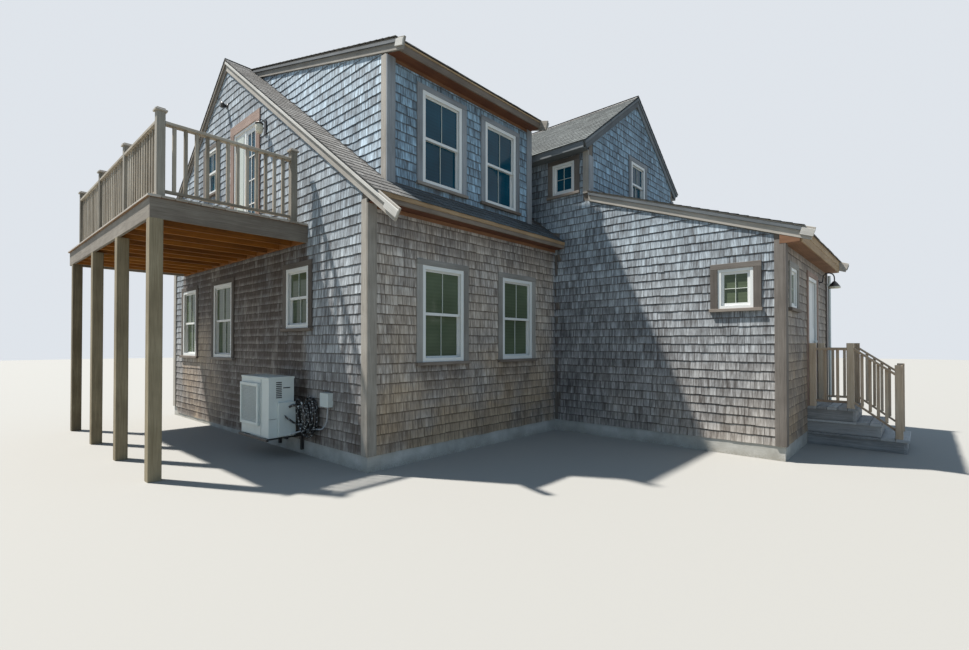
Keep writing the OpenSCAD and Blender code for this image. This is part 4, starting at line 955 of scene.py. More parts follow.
@dataclass
class WallShingles:
    """The cedar shingles of every wall.

    Under the deck the wall is darkened between two places along it and up to a height, partly as painted
    shade of the deck, apart from a painted patch of sunlight.
    A point closer to a wall's plane than close is on that wall.
    """

    plan: Plan
    windows: Windows
    palette: Palette
    drop: float = 0.127
    drop_y: float = 3.3
    drop_end: float = 7.22
    lap: float = 0.02
    close: float = 0.04
    streak: float = 0.9
    streak_half: float = 0.44
    # where the wall under the deck is darkened, partly as painted shade, and where a painted patch of
    # sunlight lifts it
    deck_dark_start: float = 1.5
    deck_dark_end: float = 6.9
    deck_dark_top: float = 3.1
    painted_sun_start: float = 4.4
    painted_sun_top: float = 2.3
    splash_west: float = 1.2
    splash: float = 0.9
    shade_edge: float = 0.05
    shade_top: float = 3.4
    eave_dark_from: float = 2.85
    wing_stain: float = 2.7
    dormer_foot: float = 3.6

    def wear(self, points: Array) -> Marks:
        """Marks of stain and of painted light and shade at each point.

        The first mark darkens the wall with stains below the sills and low on the walls, on the lean-to wall,
        just under the south eave and under the deck, where it is partly painted shade of the deck, lifted in
        a painted patch of sunlight. The second is tan, partly painted warm light bounced onto shaded and low
        walls; the third is painted sky blue on the high walls, and the fourth painted brightening on the
        dormer and the shaded main south wall.

        Args:
            points: the shingles' points.

        Returns:
            The four marks: the darkening of stain and painted shade, the tan with painted bounce light, the
                painted sky blue and the painted brightening.
        """
        x, y, z = points.T
        p = self.plan
        west, porch = x < p.west + 0.001, y < p.lean + self.lap
        under = west & (y > self.deck_dark_start) & (y < self.deck_dark_end) & (z < self.deck_dark_top)
        # painted sunlight: a patch under the deck where the darkening is lifted
        painted_sun = np.clip((y - self.painted_sun_start) / 0.8, 0, 1) * np.clip((self.painted_sun_top - z) / 0.6, 0, 1)
        # under the deck: darker, partly painted shade of the deck
        stain_and_shade = np.where(under, 1.15 - 1.0 * painted_sun, 0.10)
        stain_and_shade = np.where(west & (z < self.splash_west), np.maximum(stain_and_shade, 0.95 - 0.45 * z), stain_and_shade)
        stain_and_shade = np.where(~west & (z < self.splash), np.maximum(stain_and_shade, 0.55 - 0.5 * z), stain_and_shade)
        for window in self.windows["south"] + self.windows["dormer"]:
            fall = window.sill - z
            near = (np.abs(x - window.centre) < self.streak_half) & (fall > 0) & (fall < self.streak)
            near &= np.abs(y - window.wall) < self.close
            stain_and_shade = np.where(near, np.maximum(stain_and_shade, 0.75 * np.clip(1 - fall / self.streak, 0, 1)), stain_and_shade)
        inside = (x > self.shade_edge) & (x < p.wing - self.shade_edge) & (z < self.shade_top)
        shade = ((y < p.south + self.lap) & inside) | porch
        stain_and_shade = np.where(porch, np.maximum(stain_and_shade, 0.4), stain_and_shade)
        flat = (np.abs(x - p.wing) < self.close) & ~shade
        stain_and_shade = np.where(flat & (z < self.wing_stain), 0.25, stain_and_shade)
        # darker band on the shaded main south wall just under the eave
        stain_and_shade = np.where(shade & (z > self.eave_dark_from) & (y > p.gable), np.maximum(stain_and_shade, 0.5), stain_and_shade)
        low_shade, low = np.clip((2.0 - z) / 1.6, 0, 1), np.clip((1.5 - z) / 1.3, 0, 1)
        # tan and painted warm bounce light: strong on the shaded walls and near the ground, and under the
        # deck, more in the painted sunlight
        tan_and_painted_bounce = np.where(shade, 0.62 + 0.5 * low_shade, 0.10 + 0.35 * low)
        tan_and_painted_bounce = np.where(under, 0.45 + 0.4 * painted_sun, tan_and_painted_bounce)
        hidden = (x > p.east - self.lap) | (y > p.north - self.lap)
        gaps = (x - p.dormer_west, y - p.dormer)
        flank, front = ((np.abs(gap) < self.close) & (z > self.dormer_foot) for gap in gaps)
        part = np.select((shade, west, hidden, flat, flank), (0.0, 0.45, 0.2, 0.5, 0.6), 1.0)
        # painted sky blue: stronger up high, full on the gable and dormer fronts, less on the west, wing,
        # cheek and hidden walls, none on the shaded main south and lean-to walls
        painted_sky_blue = np.clip((z - 0.8) / 2.6, 0.15, 1) * part
        # painted light: brightening, most on the sunlit dormer cheek and the shaded main south wall, less on
        # the dormer front and the west wall
        painted_brightening = np.select((flank, front, west & ~under, shade & (y > p.gable)), (1.0, 0.3, 0.08, 0.95), 0.0)
        return {"stain_and_shade": stain_and_shade, "tan_and_painted_bounce": tan_and_painted_bounce, "painted_sky_blue": painted_sky_blue, "painted_brightening": painted_brightening}

    def holes(self, wall: str) -> list[Rect]:
        """The casings' outlines on one wall."""
        return [window.rect for window in self.windows[wall]]

    def west(self) -> Cladding:
        """Courses of the main west wall, up to the rake boards and round the deck."""
        p = self.plan
        s = np.array((-p.north, -p.ridge_y, -p.south))
        high = np.array((p.main_n.z(p.north), p.ridge_z, p.main_s.z(p.south))) - RAKE_V
        steps = [side * JUMP - edge for edge in (self.drop_end, self.drop_y) for side in (-1, 1)]
        low_s = np.array((-p.north, *steps, 0.0))
        low = p.sill - self.drop * np.array((0, 0, 1, 1, 0, 0))
        deck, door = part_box("deck_rim"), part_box("deck_door")
        holes = self.holes("west")
        holes.append((-deck[1][1] - 0.03, -deck[0][1] + 0.03, deck[0][2], p.deck_top))
        left, right = -door[1][1] - DECK_CASING_W, -door[0][1] + DECK_CASING_W
        holes.append((left, right, p.deck_top - 0.01, door[1][2] + DECK_CASING_HEAD))
        plane = wall_plane(Side.WEST, p.west)
        ends = (-p.north + CORNER_W, -CORNER_W, p.sill - self.drop, p.ridge_z)
        return Cladding(plane, *ends, (low_s, low), (s, high), holes, 11)

    def plain(self) -> tuple[Cladding, Cladding]:
        """Courses of the main south wall, up to the frieze, and of the north wall."""
        p = self.plan
        south = (CORNER_W, p.wing, p.sill, p.main_s.soffit - 0.05)
        north = (-p.east + CORNER_W, -CORNER_W, p.sill, p.main_n.soffit)
        return (
            Cladding(wall_plane(Side.SOUTH, p.south), *south, holes=self.holes("south"), seed=12),
            Cladding(wall_plane(Side.NORTH, p.north), *north, holes=self.holes("north"), seed=17),
        )

    def wing_west(self) -> Cladding:
        """Courses of the wing's west wall, over the lean-to and the wing's front and above the main roof."""
        p = self.plan
        soffit, eave = p.wing_w.soffit, p.main_s.z0
        s = np.array((-p.valley_y, -p.gable - JUMP, -p.gable + JUMP, -p.lean))
        high = np.array((soffit, soffit, *(p.porch.z(y) - PORCH_RAKE for y in (p.gable, p.lean))))
        low_s = np.array((-p.valley_y, -JUMP, JUMP, -p.lean))
        low = np.array((*(p.main_s.z(y) + 0.02 for y in (p.valley_y, 0.0)), p.sill, p.sill))
        holes = self.holes("wing")
        holes.append((-p.gable - CORNER_W, -p.gable, p.porch.z(p.gable) - 0.15, soffit))
        holes.append((0.0, 0.216, eave - ROOF_T - SOFFIT_T, eave + 0.03))
        holes.append((0.0, 0.11, eave + 0.02, eave + 0.12))
        ends = (-p.valley_y, -p.lean - CORNER_W, p.sill, soffit)
        return Cladding(wall_plane(Side.WEST, p.wing), *ends, (low_s, low), (s, high), holes, 13)

    def from_foot(self, foot: float) -> float:
        """The course line at or next below a height, counted from the sill."""
        return self.plan.sill + COURSE * math.floor((foot - self.plan.sill) / COURSE)

    def gable(self) -> Cladding:
        """Courses of the south gable, above the lean-to roof."""
        p = self.plan
        s = np.array((p.wing, p.wing_mid, p.east))
        high = np.array((p.wing_w.z(p.wing), p.wing_w.z(p.wing_mid), p.wing_e.z(p.east))) - RAKE_V
        top = p.porch.z(p.gable) + 0.01
        low = (np.array((p.wing, p.east)), np.array((top, top)))
        ends = (p.wing + CORNER_W, p.east - CORNER_W, self.from_foot(top), high[1])
        return Cladding(wall_plane(Side.SOUTH, p.gable), *ends, low, (s, high), self.holes("gable"), 14)

    def lean(self) -> Cladding:
        """Courses of the lean-to's south wall, round its door and steps."""
        p = self.plan
        door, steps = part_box("entry_door_frame"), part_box("entry_steps")
        holes = self.holes("lean")
        holes.append((door[0][0] - CASING_W, door[1][0] + CASING_W, 0.0, door[1][2] + CASING_HEAD))
        holes.append((steps[0][0], steps[1][0], 0.0, steps[1][2]))
        ends = (p.wing + CORNER_W, p.east - CORNER_W, p.sill, p.porch.z0 - PORCH_FASCIA)
        return Cladding(wall_plane(Side.SOUTH, p.lean), *ends, holes=holes, seed=15)

    def east(self) -> Cladding:
        """Courses of the east wall, under the lean-to, the wing's eave and the east gable."""
        p = self.plan
        soffit = p.wing_e.soffit
        steps = [y + side * JUMP for y in (p.gable, p.valley_y) for side in (-1, 1)]
        s = np.array((p.lean, *steps, p.ridge_y, p.north))
        high = np.array((
            p.porch.z(p.lean) - PORCH_RAKE, p.porch.z(p.gable) - PORCH_RAKE, soffit, soffit,
            p.main_s.z(p.valley_y) - RAKE_V, p.ridge_z - RAKE_V, p.main_n.z(p.north) - RAKE_V,
        ))
        holes = self.holes("east")
        holes.append((p.gable, p.gable + CORNER_W, p.porch.z(p.gable) - 0.15, soffit))
        ends = (p.lean + CORNER_W, p.north - CORNER_W, p.sill, p.ridge_z)
        return Cladding(wall_plane(Side.EAST, p.east), *ends, None, (s, high), holes, 16)

    def dormer(self) -> list[Cladding]:
        """Courses of the dormer's face and its two cheeks."""
        p = self.plan
        foot = p.main_s.z(p.dormer) + 0.01
        base = self.from_foot(foot)
        low = (np.array((p.dormer_west, p.dormer_east)), np.array((foot, foot)))
        ends = (p.dormer_west + CORNER_W, p.dormer_east - CORNER_W, base, p.shed.soffit)
        face = Cladding(wall_plane(Side.SOUTH, p.dormer), *ends, low, None, self.holes("dormer"), 18)
        y = np.array((p.dormer + CORNER_W, p.ridge_y))
        low, high = p.main_s.z(y) + 0.012, p.shed.z(y) - 0.175
        plane, back = wall_plane(Side.WEST, p.dormer_west), -y[::-1]
        west = Cladding(plane, *back, base, p.ridge_z, (back, low[::-1]), (back, high[::-1]), seed=19)
        plane = wall_plane(Side.EAST, p.dormer_east)
        return [face, west, Cladding(plane, *y, base, p.ridge_z, (y, low), (y, high), seed=20)]

    def make(self) -> None:
        """Makes one piece for each group of walls."""
        south, north = self.plain()
        groups = {
            "main_west": [self.west()],
            "main_south": [south],
            "wing_west": [self.wing_west()],
            "wing_gable": [self.gable()],
            "lean_to": [self.lean()],
            "east": [self.east()],
            "north": [north],
            "dormer": self.dormer(),
        }
        for name, parts in groups.items():
            clad(f"shingles_{name}", self.palette["cedar"], parts, self.wear)


@dataclass
class RoofCovering:
    """The mineral-faced shingles of every roof surface."""

    plan: Plan
    palette: Palette
    lip: float = 0.03
    rake_lip: float = 0.062
    cap_step: float = 0.13
    cap_length: float = 0.19
    cap_reach: float = 0.14
    cap_over: float = 0.05
    cap_half: float = 0.004
    cap_lift: Pair = (0.012, 0.005)

    def face(self, slope: Slope, left: float, right: float, top: float, **more: object) -> Cladding:
        """Courses on one roof surface, from a lip past the eave up to a given coordinate.

        Args:
            slope: the surface.
            left: lowest s of the face.
            right: highest s of the face.
            top: the coordinate at which the courses end.
            more: further fields of the cladding.

        Returns:
            The cladding.
        """
        return Cladding(
            slope.plane(), left, right, -self.lip - TRIM_T, slope.along(top), exposure=0.14, tuck=0.03,
            butt=0.010, head=0.002, least=0.16, most=0.34, **more,
        )

    def painted_dormer_shade(self, points: Array) -> Marks:
        """Painted shade at each point: one on the strip in front of the dormer, which lies in the dormer's
        shadow.
        """
        p, (x, y, z) = self.plan, points.T
        return {"painted_dormer_shade": ((x > p.dormer_west) & (x < p.wing) & (y < p.dormer + 0.1) & (z < 4.0)) * 1.0}

    def main_south(self) -> Cladding:
        """The main south slope, cut round the dormer and along the valleys."""
        p = self.plan
        s = p.main_s
        x = np.array((p.wing - JUMP, p.wing, p.wing_mid, p.east, p.east + JUMP))
        heights = (p.wing_w.z(p.wing), p.wing_w.z(p.wing_mid), p.wing_e.z(p.east))
        meet = np.array((-self.lip - TRIM_T, *(s.along(s.at(z)) for z in heights), s.along(p.valley_y)))
        hole = (p.dormer_west - 0.052, p.dormer_east + 0.052, s.along(p.dormer), s.along(p.ridge_y) + 1)
        ends = (p.west - self.rake_lip, p.east + self.rake_lip, p.ridge_y)
        return self.face(s, *ends, low=(x, meet), holes=[hole], seed=31)

    def make(self) -> None:
        """Makes the coverings, one piece a roof, and the ridge caps."""
        p, over = self.plan, self.rake_lip
        north = self.face(p.main_n, -p.east - over, -p.west + over, p.ridge_y, seed=32)
        shed = self.face(p.shed, p.dormer_west - over, p.dormer_east + over, p.ridge_y, seed=33)
        porch = self.face(p.porch, p.wing - over, p.east + over, p.gable, seed=34)
        rise = p.main_s.at(p.wing_w.z(p.wing_mid))
        y = np.array((p.gable - over, p.main_s.at(p.wing_w.z0), rise))
        up = np.array((-9.0, 0.0, p.wing_w.along(p.wing_mid)))
        west = self.face(p.wing_w, -rise, -p.gable + over, p.wing_mid, low=(-y[::-1], up[::-1]), seed=35)
        east = self.face(p.wing_e, p.gable - over, rise, p.wing_mid, low=(y, up), seed=36)
        pieces = {
            "main": ([self.main_south(), north], "roof"),
            "dormer": ([shed], "roof"),
            "lean_to": ([porch], "roof"),
            # the wing's roof takes the darker copy, painted shade
            "wing": ([west, east], "roof_west"),
        }
        for name, (parts, finish) in pieces.items():
            clad(f"roofing_{name}", self.palette[finish], parts, self.painted_dormer_shade)
        self.caps()

    def caps(self) -> None:
        """Makes the ridge caps: pairs of tabs folded over a ridge, each lapping the one before.

        Pair k starts at start + cap_step k along the ridge. Its near end lies higher over the surface than
        its far end, and both tabs reach cap_reach down their slopes.
        """
        p, over = self.plan, self.cap_over
        wing_top = p.wing_w.z(p.wing_mid)
        rows = (
            (0, p.west - over, p.east + over, p.ridge_y, p.ridge_z, (p.main_s, p.main_n)),
            (1, p.gable - over, p.main_s.at(wing_top), p.wing_mid, wing_top, (p.wing_w, p.wing_e)),
        )
        stack = []
        for axis, start, end, middle, top, slopes in rows:
            at = np.arange(start, end - self.cap_length, self.cap_step)[:, None]
            along = at + np.array((0, 0, self.cap_length, self.cap_length))
            lift = np.repeat(self.cap_lift, 2)
            for way, slope in zip((-1, 1), slopes):
                out = np.array((0, 1, 1, 0)) * self.cap_reach / math.hypot(1.0, slope.pitch)
                up = np.tile(top - abs(slope.pitch) * out + lift, 2)
                corners = np.zeros((len(at), 8, 3))
                corners[..., axis] = np.tile(along, 2)
                corners[..., 1 - axis] = np.tile(middle + way * out, 2)
                corners[..., 2] = up + np.repeat((-self.cap_half, self.cap_half), 4)
                stack.append(corners[:, (3, 2, 1, 0, 7, 6, 5, 4)] if (way > 0) == (axis == 0) else corners)
        points = np.concatenate(stack)
        tone = np.repeat(np.random.default_rng(5).random(len(points)), 8)
        marks, faces = {"tone": tone, "near": tone + 1, "far": tone + 1}, block_faces(len(points))
        mesh_piece("ridge_caps", points, faces, self.palette["roof"], attributes=marks)


def stacks_of(first: int, *names: str) -> dict[str, BoardStack]:
    """Empty stacks by name, with seeds that count up from the first."""
    return {name: BoardStack(first + i) for i, name in enumerate(names)}


@dataclass
class RoofTrim:
    """Sloping boards, fascias, soffits and friezes of every roof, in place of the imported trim."""

    plan: Plan
    palette: Palette
    depth: float = 0.165
    thick: float = 0.030
    crown_t: float = 0.022
    crown_top: float = 0.030
    crown_d: float = 0.042
    block: float = 0.23
    short_block: float = 0.15
    block_d: float = 0.095
    shed_end: float = 0.12
    fascia_top: float = 0.02
    strip_top: float = 0.022
    strip_out: float = 0.036
    frieze_h: float = 0.050
    frieze_t: float = 0.018
    porch_lower: float = 0.11

    def __post_init__(self) -> None:
        """Starts the stacks of the sloping and of the level boards."""
        self.stacks = stacks_of(51, "rake", "crown", "dim", "trim", "corner")
        self.stacks |= stacks_of(60, "fascia", "strip", "soffit", "frieze", "shade")

    def board(self, name: str, slope: Slope, fixed: float, thick: float, ends: Pair, depth: float,
              drop: float = 0.0, plumb: bool = True) -> None:
        """Adds a board under a slope's surface, cut square at its low end and plumb at its high end.

        Args:
            name: the name of the stack that takes the board.
            slope: the surface.
            fixed: the face that the board lies on, along the other level axis.
            thick: the board's thickness, negative where it lies on the low side of the face.
            ends: coordinates of the low and the high end along the slope's axis.
            depth: the board's depth, square to the slope.
            drop: upright distance of its top edge below the surface.
            plumb: whether the high end is cut plumb.
        """
        k, other = slope.axis, 1 - slope.axis
        length = math.hypot(1.0, slope.pitch)
        normal = np.zeros(3)
        normal[k], normal[2] = -slope.pitch / length, 1 / length
        points = np.zeros((2, 3))
        points[:, other] = fixed + thick / 2
        points[:, k] = ends
        points[:, 2] = slope.z(points[:, k]) - drop
        down = depth * length * UP if plumb else normal * depth
        low, high = np.stack((points[0] - normal * depth, points[0])), np.stack((points[1] - down, points[1]))
        self.stacks[name].cut(low, high, np.eye(3)[other], abs(thick))

    def rake(self, slope: Slope, fixed: float, way: int, ends: Pair, block: float, main: str,
             crown: str) -> None:
        """Adds a rake board with its crown strip and tail block.

        Args:
            slope: the surface.
            fixed: the wall face that the rake lies on.
            way: -1 or 1, the way the boards lie from the face.
            ends: coordinates of the low and the high end along the slope's axis.
            block: length of the tail block along the slope's axis.
            main: the name of the main board's stack.
            crown: the name of the crown strip's stack.
        """
        (tail, top), face, thick = ends, fixed + way * self.thick, way * self.crown_t
        start = tail + math.copysign(block, top - tail)
        self.board(main, slope, fixed, way * self.thick, ends, self.depth)
        self.board(crown, slope, face, thick, (start, top), self.crown_d, self.crown_top)
        self.board("crown", slope, face, thick, (tail, start), self.block_d, self.crown_top, False)

    def make(self) -> None:
        """Makes the trim: rakes, crowns, fascias and soffits are a piece each."""
        p = self.plan
        south, north = ((box[1], p.ridge_y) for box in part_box("main_roof_trim"))
        shed = (corner("dormer_trim", False, 1), p.ridge_y - self.shed_end)
        porch = (corner("lean_to_trim", False, 1), p.gable)
        rakes = (
            (p.main_s, (p.west,), south, self.block, "rake", "crown"),
            (p.main_n, (p.west, p.east), north, self.block, "trim", "trim"),
            # the dormer's and the lean-to's crowns take the trim's painted shade copy
            (p.shed, (p.dormer_west, p.dormer_east), shed, self.short_block, "rake", "dim"),
            (p.porch, (p.wing, p.east), porch, self.short_block, "corner", "dim"),
        )
        for slope, walls, *rest in rakes:
            for wall, way in zip(walls, (-1, 1)):
                self.rake(slope, wall, way, *rest)
        self.board("trim", p.main_s, p.east, self.thick, (p.valley_y, p.ridge_y), self.depth)
        for slope, box in zip((p.wing_w, p.wing_e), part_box("wing_roof_trim")):
            ends = (box[0], p.wing_mid)
            # the wing's gable rakes and crowns take the painted shade copy
            self.board("dim", slope, p.gable, -self.thick, ends, self.depth)
            self.board("dim", slope, p.gable - self.thick, -self.crown_t, ends, self.crown_d, self.crown_top)
        self.level()
        trims = ("main_roof_trim", "dormer_trim", "wing_roof_trim", "lean_to_trim")
        pieces = {
            "corner": "rake_boards_porch",
            "rake": "rake_boards",
            "crown": "crown_strips",
            "dim": "rake_boards_dim",
            "trim": "rake_boards_north",
        }
        for finish, name in pieces.items():
            nodes = trims if finish == "rake" else ()
            self.stacks[finish].make(name, self.palette[finish], "trim_wood", nodes)

    def lay(self, name: str, axis: int, span: Pair, across: Pair, up: Pair) -> None:
        """Adds a level board by its ends, its faces along the axis that it lies square to and its heights."""
        level = (across, span) if axis == 0 else (span, across)
        self.stacks[name].box(*zip(*level, up), Run(1 - axis))

    def eave(self, slope: Slope, ends: Pair, wall: float, frieze: Pair | None = None,
             band: float = 0.062) -> None:
        """Adds an eave: fascia and soffit and, where there is a frieze, also the strip over the fascia.

        Args:
            slope: the roof surface.
            ends: coordinates of the eave's ends along its length.
            wall: the wall face under it.
            frieze: coordinates of the frieze's ends, or None for an eave in the darker finish of painted
                shade.
            band: depth of the strip.
        """
        axis, top, low, edge = slope.axis, slope.z0, slope.soffit, slope.c0
        way = math.copysign(1.0, wall - edge)
        fascia, soffit = ("fascia", "soffit") if frieze else ("shade", "shade")
        self.lay(fascia, axis, ends, (edge, edge - way * TRIM_T), (low, top - self.fascia_top))
        self.lay(soffit, axis, ends, (edge, wall), (low, low + SOFFIT_T))
        if frieze:
            high, faces = top - self.strip_top, (edge - way * TRIM_T, edge - way * self.strip_out)
            self.lay("strip", axis, ends, faces, (high - band, high))
            self.lay("frieze", axis, frieze, (wall, wall - way * self.frieze_t), (low - self.frieze_h, low))

    def level(self) -> None:
        """Adds the eaves of every roof and makes their pieces."""
        p = self.plan
        self.eave(p.main_s, (p.west, p.wing), p.south, (p.west + CORNER_W, p.wing))
        self.eave(p.main_n, (p.west, p.east), p.north, (p.west + CORNER_W, p.east - CORNER_W))
        frieze = (p.dormer_west + 0.06, p.dormer_east - 0.06)
        self.eave(p.shed, (p.dormer_west, p.dormer_east), p.dormer, frieze, 0.025)
        self.eave(p.wing_w, (p.gable, p.main_s.at(p.wing_w.z0)), p.wing)
        self.eave(p.wing_e, (p.gable, p.valley_y), p.east)
        top, edge, ends = p.porch.z0, p.porch.c0, (p.wing, p.east)
        low = top - PORCH_FASCIA
        joint = low + self.porch_lower
        self.lay("strip", 1, ends, (edge, edge - TRIM_T), (joint, top - 0.008))
        self.lay("strip", 1, ends, (edge, edge - TRIM_T + 0.004), (low, joint))
        self.lay("frieze", 1, ends, (edge, p.lean), (low, low + SOFFIT_T))
        for x in (p.wing - 0.027, p.east + 0.002):
            self.lay("frieze", 0, (edge + 0.002, p.lean + 0.05), (x, x + TRIM_T), (low, low + 0.13))
        for name in ("fascia", "strip", "soffit", "frieze", "shade"):
            # the eaves without a frieze take the painted shade copy
            finish = {"strip": "eave", "shade": "dim"}.get(name, name)
            self.stacks[name].make(f"eave_{name}_boards", self.palette[finish], "trim_wood")


@dataclass
class WallTrim:
    """Corner boards and window casings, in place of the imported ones."""

    plan: Plan
    windows: Windows
    palette: Palette
    sill_out: float = 0.052
    sill_over: float = 0.012
    rake_gap: float = 0.02
    crown_gap: float = 0.09
    upper_foot: float = 3.0

    def corners(self) -> None:
        """Makes the corner boards, two legs a corner: the board on the front and the one on the flank."""
        p = self.plan
        rake, wing, dormer = RAKE_V + self.rake_gap, p.wing_w.soffit, p.shed.soffit
        porch_foot, dormer_foot = p.porch.z(p.gable) - 0.02, p.main_s.z(p.dormer) - 0.01
        rows = (
            ((p.west,), p.south, 1, p.sill, p.main_s.soffit, p.main_s.z(p.south) - rake),
            ((p.west, p.east), p.north, -1, p.sill, p.main_n.soffit, p.main_n.z(p.north) - rake),
            ((p.wing, p.east), p.lean, 1, p.sill, p.porch.z0 - PORCH_FASCIA, p.porch.z(p.lean) - rake),
            ((p.wing, p.east), p.gable, 1, porch_foot, wing - self.crown_gap, wing),
            ((p.dormer_west, p.dormer_east), p.dormer, 1, dormer_foot, dormer, dormer + 0.02),
        )
        legs, faces, porch = (BoardStack(seed) for seed in (71, 74, 76))
        for xs, y, b, foot, front, flank in rows:
            side = porch if y == p.lean else legs
            # the fronts of the high corners take the bluish painted shade copy
            face = faces if foot > self.upper_foot else side
            for x, a in zip(xs, (1, -1)):
                face.box((x - a * TRIM_T, y - b * TRIM_T, foot), (x + a * CORNER_W, y, front), Run.Z)
                side.box((x - a * TRIM_T, y, foot), (x, y + b * CORNER_W, flank), Run.Z)
        porch.make("corner_boards_porch", self.palette["porch"], "trim_wood")
        faces.make("corner_board_faces", self.palette["shaded_blue_trim"], "trim_wood")
        legs.make("corner_board_legs", self.palette["corner"], "trim_wood", ("corner_boards",))

    @staticmethod
    def surround(stack: BoardStack, plane: Plane, opening: Rect, side: float, head: float) -> None:
        """Adds a casing: a board on each side of an opening and a head that caps them.

        Args:
            stack: the stack that takes the boards.
            plane: the wall.
            opening: the opening's left, right, bottom and top.
            side: width of the side boards.
            head: height of the head.
        """
        s0, s1, t0, t1 = opening
        stack.flat(plane, [
            ((s0 - side, s0, t0, t1), TRIM_T, False),
            ((s1, s1 + side, t0, t1), TRIM_T, False),
            ((s0 - side, s1 + side, t1, t1 + head), TRIM_T, True),
        ])

    def casings(self) -> None:
        """Makes the casings of windows and doors, and the window sills."""
        p = self.plan
        casing, sills, jambs, worn, high = (BoardStack(seed) for seed in (72, 73, 75, 77, 78))
        for window in sum(self.windows.values(), []):
            # the dormer's and the gable's casings take the bluish painted shade copy
            upper = high if window.wall in (p.dormer, p.gable) else casing
            stack = worn if window.side == Side.WEST else upper
            self.surround(stack, window.plane, window.glass, CASING_W, CASING_HEAD)
            reach = window.width / 2 + CASING_W + self.sill_over
            rect = (window.centre - reach, window.centre + reach, window.sill - SILL_H, window.sill)
            sills.flat(window.plane, [(rect, self.sill_out, True)])
        lo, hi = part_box("deck_door")
        plane, rect = wall_plane(Side.WEST, p.west), (-hi[1], -lo[1], p.deck_top, hi[2])
        self.surround(jambs, plane, rect, DECK_CASING_W, DECK_CASING_HEAD)
        lo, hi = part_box("entry_door_frame")
        plane, rect = wall_plane(Side.SOUTH, p.lean), (lo[0], hi[0], lo[2], hi[2])
        self.surround(jambs, plane, rect, CASING_W, CASING_HEAD)
        casing.make("casing_boards", self.palette["casing"], "trim_wood", ("window_casings",))
        sills.make("window_sills", self.palette["sill"], "trim_wood")
        worn.make("casing_boards_wing", self.palette["porch"], "trim_wood")
        high.make("casing_boards_high", self.palette["shaded_blue_trim"], "trim_wood")
        jambs.make("door_casing_boards", self.palette["jamb"], "trim_wood")

    def make(self) -> None:
        """Makes the corner boards and casings."""
        self.corners()
        self.casings()


@dataclass
class WindowBars:
    """The sash faces and the glazing bars: one upright a sash, or a cross in the small windows."""

    windows: Windows
    palette: Palette
    frame_w: float = 0.042
    sash_w: float = 0.038
    face_w: float = 0.057
    face_t: float = 0.018
    level_t: float = 0.0175
    bar: float = 0.009
    depth: float = 0.014
    upper: float = -0.012
    lower: float = -0.042

    def bars(self, stack: BoardStack, window: Opening) -> None:
        """Adds a window's bars, whose faces lie at upper or lower from the wall's face.

        Args:
            stack: the stack that takes them.
            window: the window.
        """
        edge, half = self.frame_w + self.sash_w, self.bar / 2
        low, high = window.sill + edge, window.sill + window.height - edge
        middle, c = window.sill + window.height / 2, window.centre
        if window.double:
            rows = [
                ((c - half, c + half, low, middle - self.sash_w / 2), self.lower, False),
                ((c - half, c + half, middle + self.sash_w / 2, high), self.upper, False),
            ]
        else:
            reach = window.width / 2 - edge
            rows = [
                ((c - half, c + half, low, high), self.upper, False),
                ((c - reach, c + reach, middle - half, middle + half), self.upper, True),
            ]
        for rect, face, level in rows:
            stack.flat(window.plane, [(rect, self.depth, level)], face - self.depth)

    def sash(self, stack: BoardStack, window: Opening) -> None:
        """Adds the four faces round a window's sashes.

        Args:
            stack: the stack that takes them.
            window: the window.
        """
        s0, s1, t0, t1 = window.glass
        wide = self.face_w
        stack.flat(window.plane, [
            ((s0, s0 + wide, t0, t1), self.face_t, False),
            ((s1 - wide, s1, t0, t1), self.face_t, False),
            ((s0 + wide, s1 - wide, t0, t0 + wide), self.level_t, True),
            ((s0 + wide, s1 - wide, t1 - wide, t1), self.level_t, True),
        ])

    def make(self) -> None:
        """Makes the bars as one piece and the sash faces as another."""
        bars, faces = BoardStack(41, 0.004), BoardStack(44)
        for window in sum(self.windows.values(), []):
            self.bars(bars, window)
            if window.double:
                self.sash(faces, window)
        bars.make("window_bars", self.palette["panel"], "white_frame")
        faces.make("window_faces", self.palette["white"], "white_frame")


